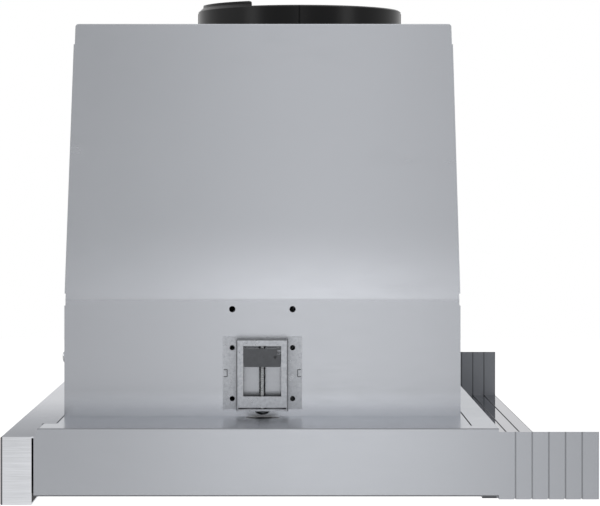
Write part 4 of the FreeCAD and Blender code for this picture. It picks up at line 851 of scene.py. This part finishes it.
def threaded_clamp_screw(side):
    """Clamp screw with its rolled thread and a domed head with a cross recess, driven from below."""
    low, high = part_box("clamp_screw_" + side)
    centre = (low + high) / 2
    outline = CLAMP_HEAD_DOME + CLAMP_HEAD_RIM
    template = cross_head_screw("clamp_screw_head", outline, CLAMP_RECESS_PLACE, CLAMP_RECESS_SCALE)
    shank_low = low.z + CLAMP_HEAD_RISE
    length = high.z - shank_low
    thread_length = length - THREAD_PLAIN_LENGTH
    plan = Plan("threaded_clamp_screw_" + side)
    crest = plan.size("Crest radius", THREAD_CREST)
    root = plan.size("Root radius", THREAD_ROOT)
    shank = {"Vertices": SHANK_STEPS, "Radius": root, "Depth": length}
    core = plan.moved(plan.add("GeometryNodeMeshCylinder", {}, shank),
                      (centre.x, centre.y, shank_low + length / 2))
    helix = {"Resolution": THREAD_STEPS, "Rotations": thread_length / THREAD_RISE, "Height": thread_length}
    helix.update({"Start Radius": root, "End Radius": root})
    spiral = plan.add("GeometryNodeCurveSpiral", {}, helix)
    ridge = {"Resolution": THREAD_SECTION_STEPS, "Radius": crest - root}
    section = plan.add("GeometryNodeCurvePrimitiveCircle", {}, ridge)
    thread = plan.moved(plan.swept(spiral, section), (centre.x, centre.y, shank_low + THREAD_START))
    head = plan.moved(plan.copy_of(template), (centre.x, centre.y, shank_low), (math.pi / 2, 0, 0))
    plan.end(plan.join([core, thread, head]), finishes["zinc_screw"])
    body = side + "_clamp_screw"
    made_by(plan, "threaded_clamp_screw_" + side, body, "zinc_screw", "clamp_screw_" + side)
    bpy.data.objects.remove(template)


def front_panel_screws():
    """The two screws that hold the front panel, one near each side."""
    low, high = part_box("housing_screws")
    outline = PANEL_HEAD_DOME + PANEL_HEAD_RIM + PANEL_SCREW_POINT
    template = cross_head_screw("cross_head_screw", outline, PANEL_RECESS_PLACE)
    plan = Plan("front_panel_screws")
    across = plan.size("Half spacing", high.x - PANEL_HEAD_RADIUS)
    ends = {"Count": 2, "Start Location": plan.vector(-across), "Offset": plan.vector(across)}
    points = plan.add("GeometryNodeMeshLine", {"mode": "END_POINTS"}, ends)
    points = plan.moved(points, (0, low.y + PANEL_HEAD_RISE, (low.z + high.z) / 2))
    screws = plan.on_points(points, plan.copy_of(template), (0.0, PANEL_SCREW_TURN, 0.0))
    plan.end(screws, finishes["zinc_screw"])
    made_by(plan, "front_panel_screws", "casing", "zinc_screw", "housing_screws")
    bpy.data.objects.remove(template)


def slider_ribs(name, body):
    """Grip ribs across a slide switch's knob."""
    low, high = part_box(name)
    plan = Plan(name + "_ribs")
    pitch = plan.size("Rib pitch", RIB_PITCH)
    width = plan.size("Rib width", RIB_WIDTH)
    bar_size = plan.vector(width, high.y - low.y - RIB_END_GAP, RIB_HEIGHT)
    bar = plan.add("GeometryNodeMeshCube", {}, {"Size": bar_size})
    start_x = (low.x + high.x) / 2 - RIB_PITCH * (RIB_COUNT - 1) / 2
    line = plan.moved(plan.row(RIB_COUNT, plan.vector(pitch)), (start_x, (low.y + high.y) / 2, low.z))
    plan.end(plan.on_points(line, bar), slider_finish)
    made_by(plan, name + "_ribs", body, "switch")


# Studio
def seen_directly(look):
    """1 for rays that reach a backdrop from the camera, from gloss or through glass."""
    camera = look.add("ShaderNodeLightPath", output="Is Camera Ray")
    gloss = look.add("ShaderNodeLightPath", output="Is Glossy Ray")
    glass = look.add("ShaderNodeLightPath", output="Is Transmission Ray")
    return camera.larger(gloss).larger(glass)


def studio_world(level):
    """White where it is seen, and an even soft light elsewhere."""
    world = bpy.data.worlds.new("studio")
    scene.world = world
    world.use_nodes = True
    look = Tree(world.node_tree)
    white = look.add("ShaderNodeBackground", {}, {"Color": opaque(WHITE_TONE), "Strength": 1.0})
    soft = look.add("ShaderNodeBackground", {}, {"Color": opaque(WHITE_TONE), "Strength": level})
    mixed = look.add("ShaderNodeMixShader", {}, {0: seen_directly(look), 1: soft, 2: white})
    look.add("ShaderNodeOutputWorld", {}, {"Surface": mixed})


def floor_finish(name):
    """Pale paint that is lifted to white where it is seen, and clear from underneath."""
    look = Finish(name)
    paint = look.add("ShaderNodeBsdfDiffuse", {}, {"Color": opaque(FLOOR_TONE)})
    across = look.along("X")
    deep = look.along("Y")
    far = (across * across + deep * deep).above(FLOOR_FADE_REACH ** 2 / 2, FLOOR_FADE_REACH ** 2)
    level = seen_directly(look) * (FLOOR_LIFT_NEAR + far * (FLOOR_LIFT_FAR - FLOOR_LIFT_NEAR))
    glow = look.blend(level, (0, 0, 0), WHITE_TONE)
    lift = look.add("ShaderNodeEmission", {}, {"Color": glow, "Strength": 1.0})
    lit = look.add("ShaderNodeAddShader", {}, {0: paint, 1: lift})
    clear = look.add("ShaderNodeBsdfTransparent")
    behind = look.add("ShaderNodeNewGeometry", output="Backfacing")
    surface = look.add("ShaderNodeMixShader", {}, {0: behind, 1: lit, 2: clear})
    look.add("ShaderNodeOutputMaterial", {}, {"Surface": surface})
    return look.material


def studio_floor(height, reach):
    """A square floor well below the hood."""
    mesh = bpy.data.meshes.new("floor")
    outline = ((-reach, -reach), (reach, -reach), (reach, reach), (-reach, reach))
    mesh.from_pydata([(x, y, height) for x, y in outline], [], [(0, 1, 2, 3)])
    floor = linked("floor", mesh)
    mesh.materials.append(floor_finish("pale_floor"))


def softbox(name, place, target, size, watts):
    """A lamp with a soft rectangular face that looks at a target, itself out of the picture."""
    lamp = bpy.data.lights.new(name, "AREA")
    lamp.shape = "RECTANGLE"
    lamp.size, lamp.size_y = size
    lamp.energy = watts
    holder = linked(name, lamp)
    holder.location = place
    holder.rotation_euler = (Vector(target) - Vector(place)).to_track_quat("-Z", "Y").to_euler()
    holder.visible_camera = False


def photo_camera():
    """The photograph's camera: level, square to the side, its frame shifted about the vanishing point."""
    data = bpy.data.cameras.new("photo_camera")
    data.sensor_width = SENSOR_WIDTH
    data.lens = SENSOR_WIDTH * FOCAL_PIXELS / IMAGE_SIZE[0]
    data.shift_x = (IMAGE_SIZE[0] / 2 - VANISHING_POINT[0]) / IMAGE_SIZE[0]
    data.shift_y = (VANISHING_POINT[1] - IMAGE_SIZE[1] / 2) / IMAGE_SIZE[0]
    data.clip_end = CAMERA_REACH
    camera = linked("photo_camera", data)
    camera.location = CAMERA_PLACE
    camera.rotation_euler = (math.radians(90), 0, math.radians(90))
    scene.camera = camera


photo_camera()
dress_nodes()
for side in ("left", "right"):
    filter_strands(side)
    threaded_clamp_screw(side)
front_panel_screws()
slider_ribs("fan_slider", "fan_switch")
slider_ribs("light_slider", "light_switch")
studio_world(WORLD_LEVEL)
studio_floor(FLOOR_HEIGHT, FLOOR_REACH)
for name, settings in SOFTBOXES.items():
    softbox(name, **settings)
scene.view_settings.view_transform = "Standard"
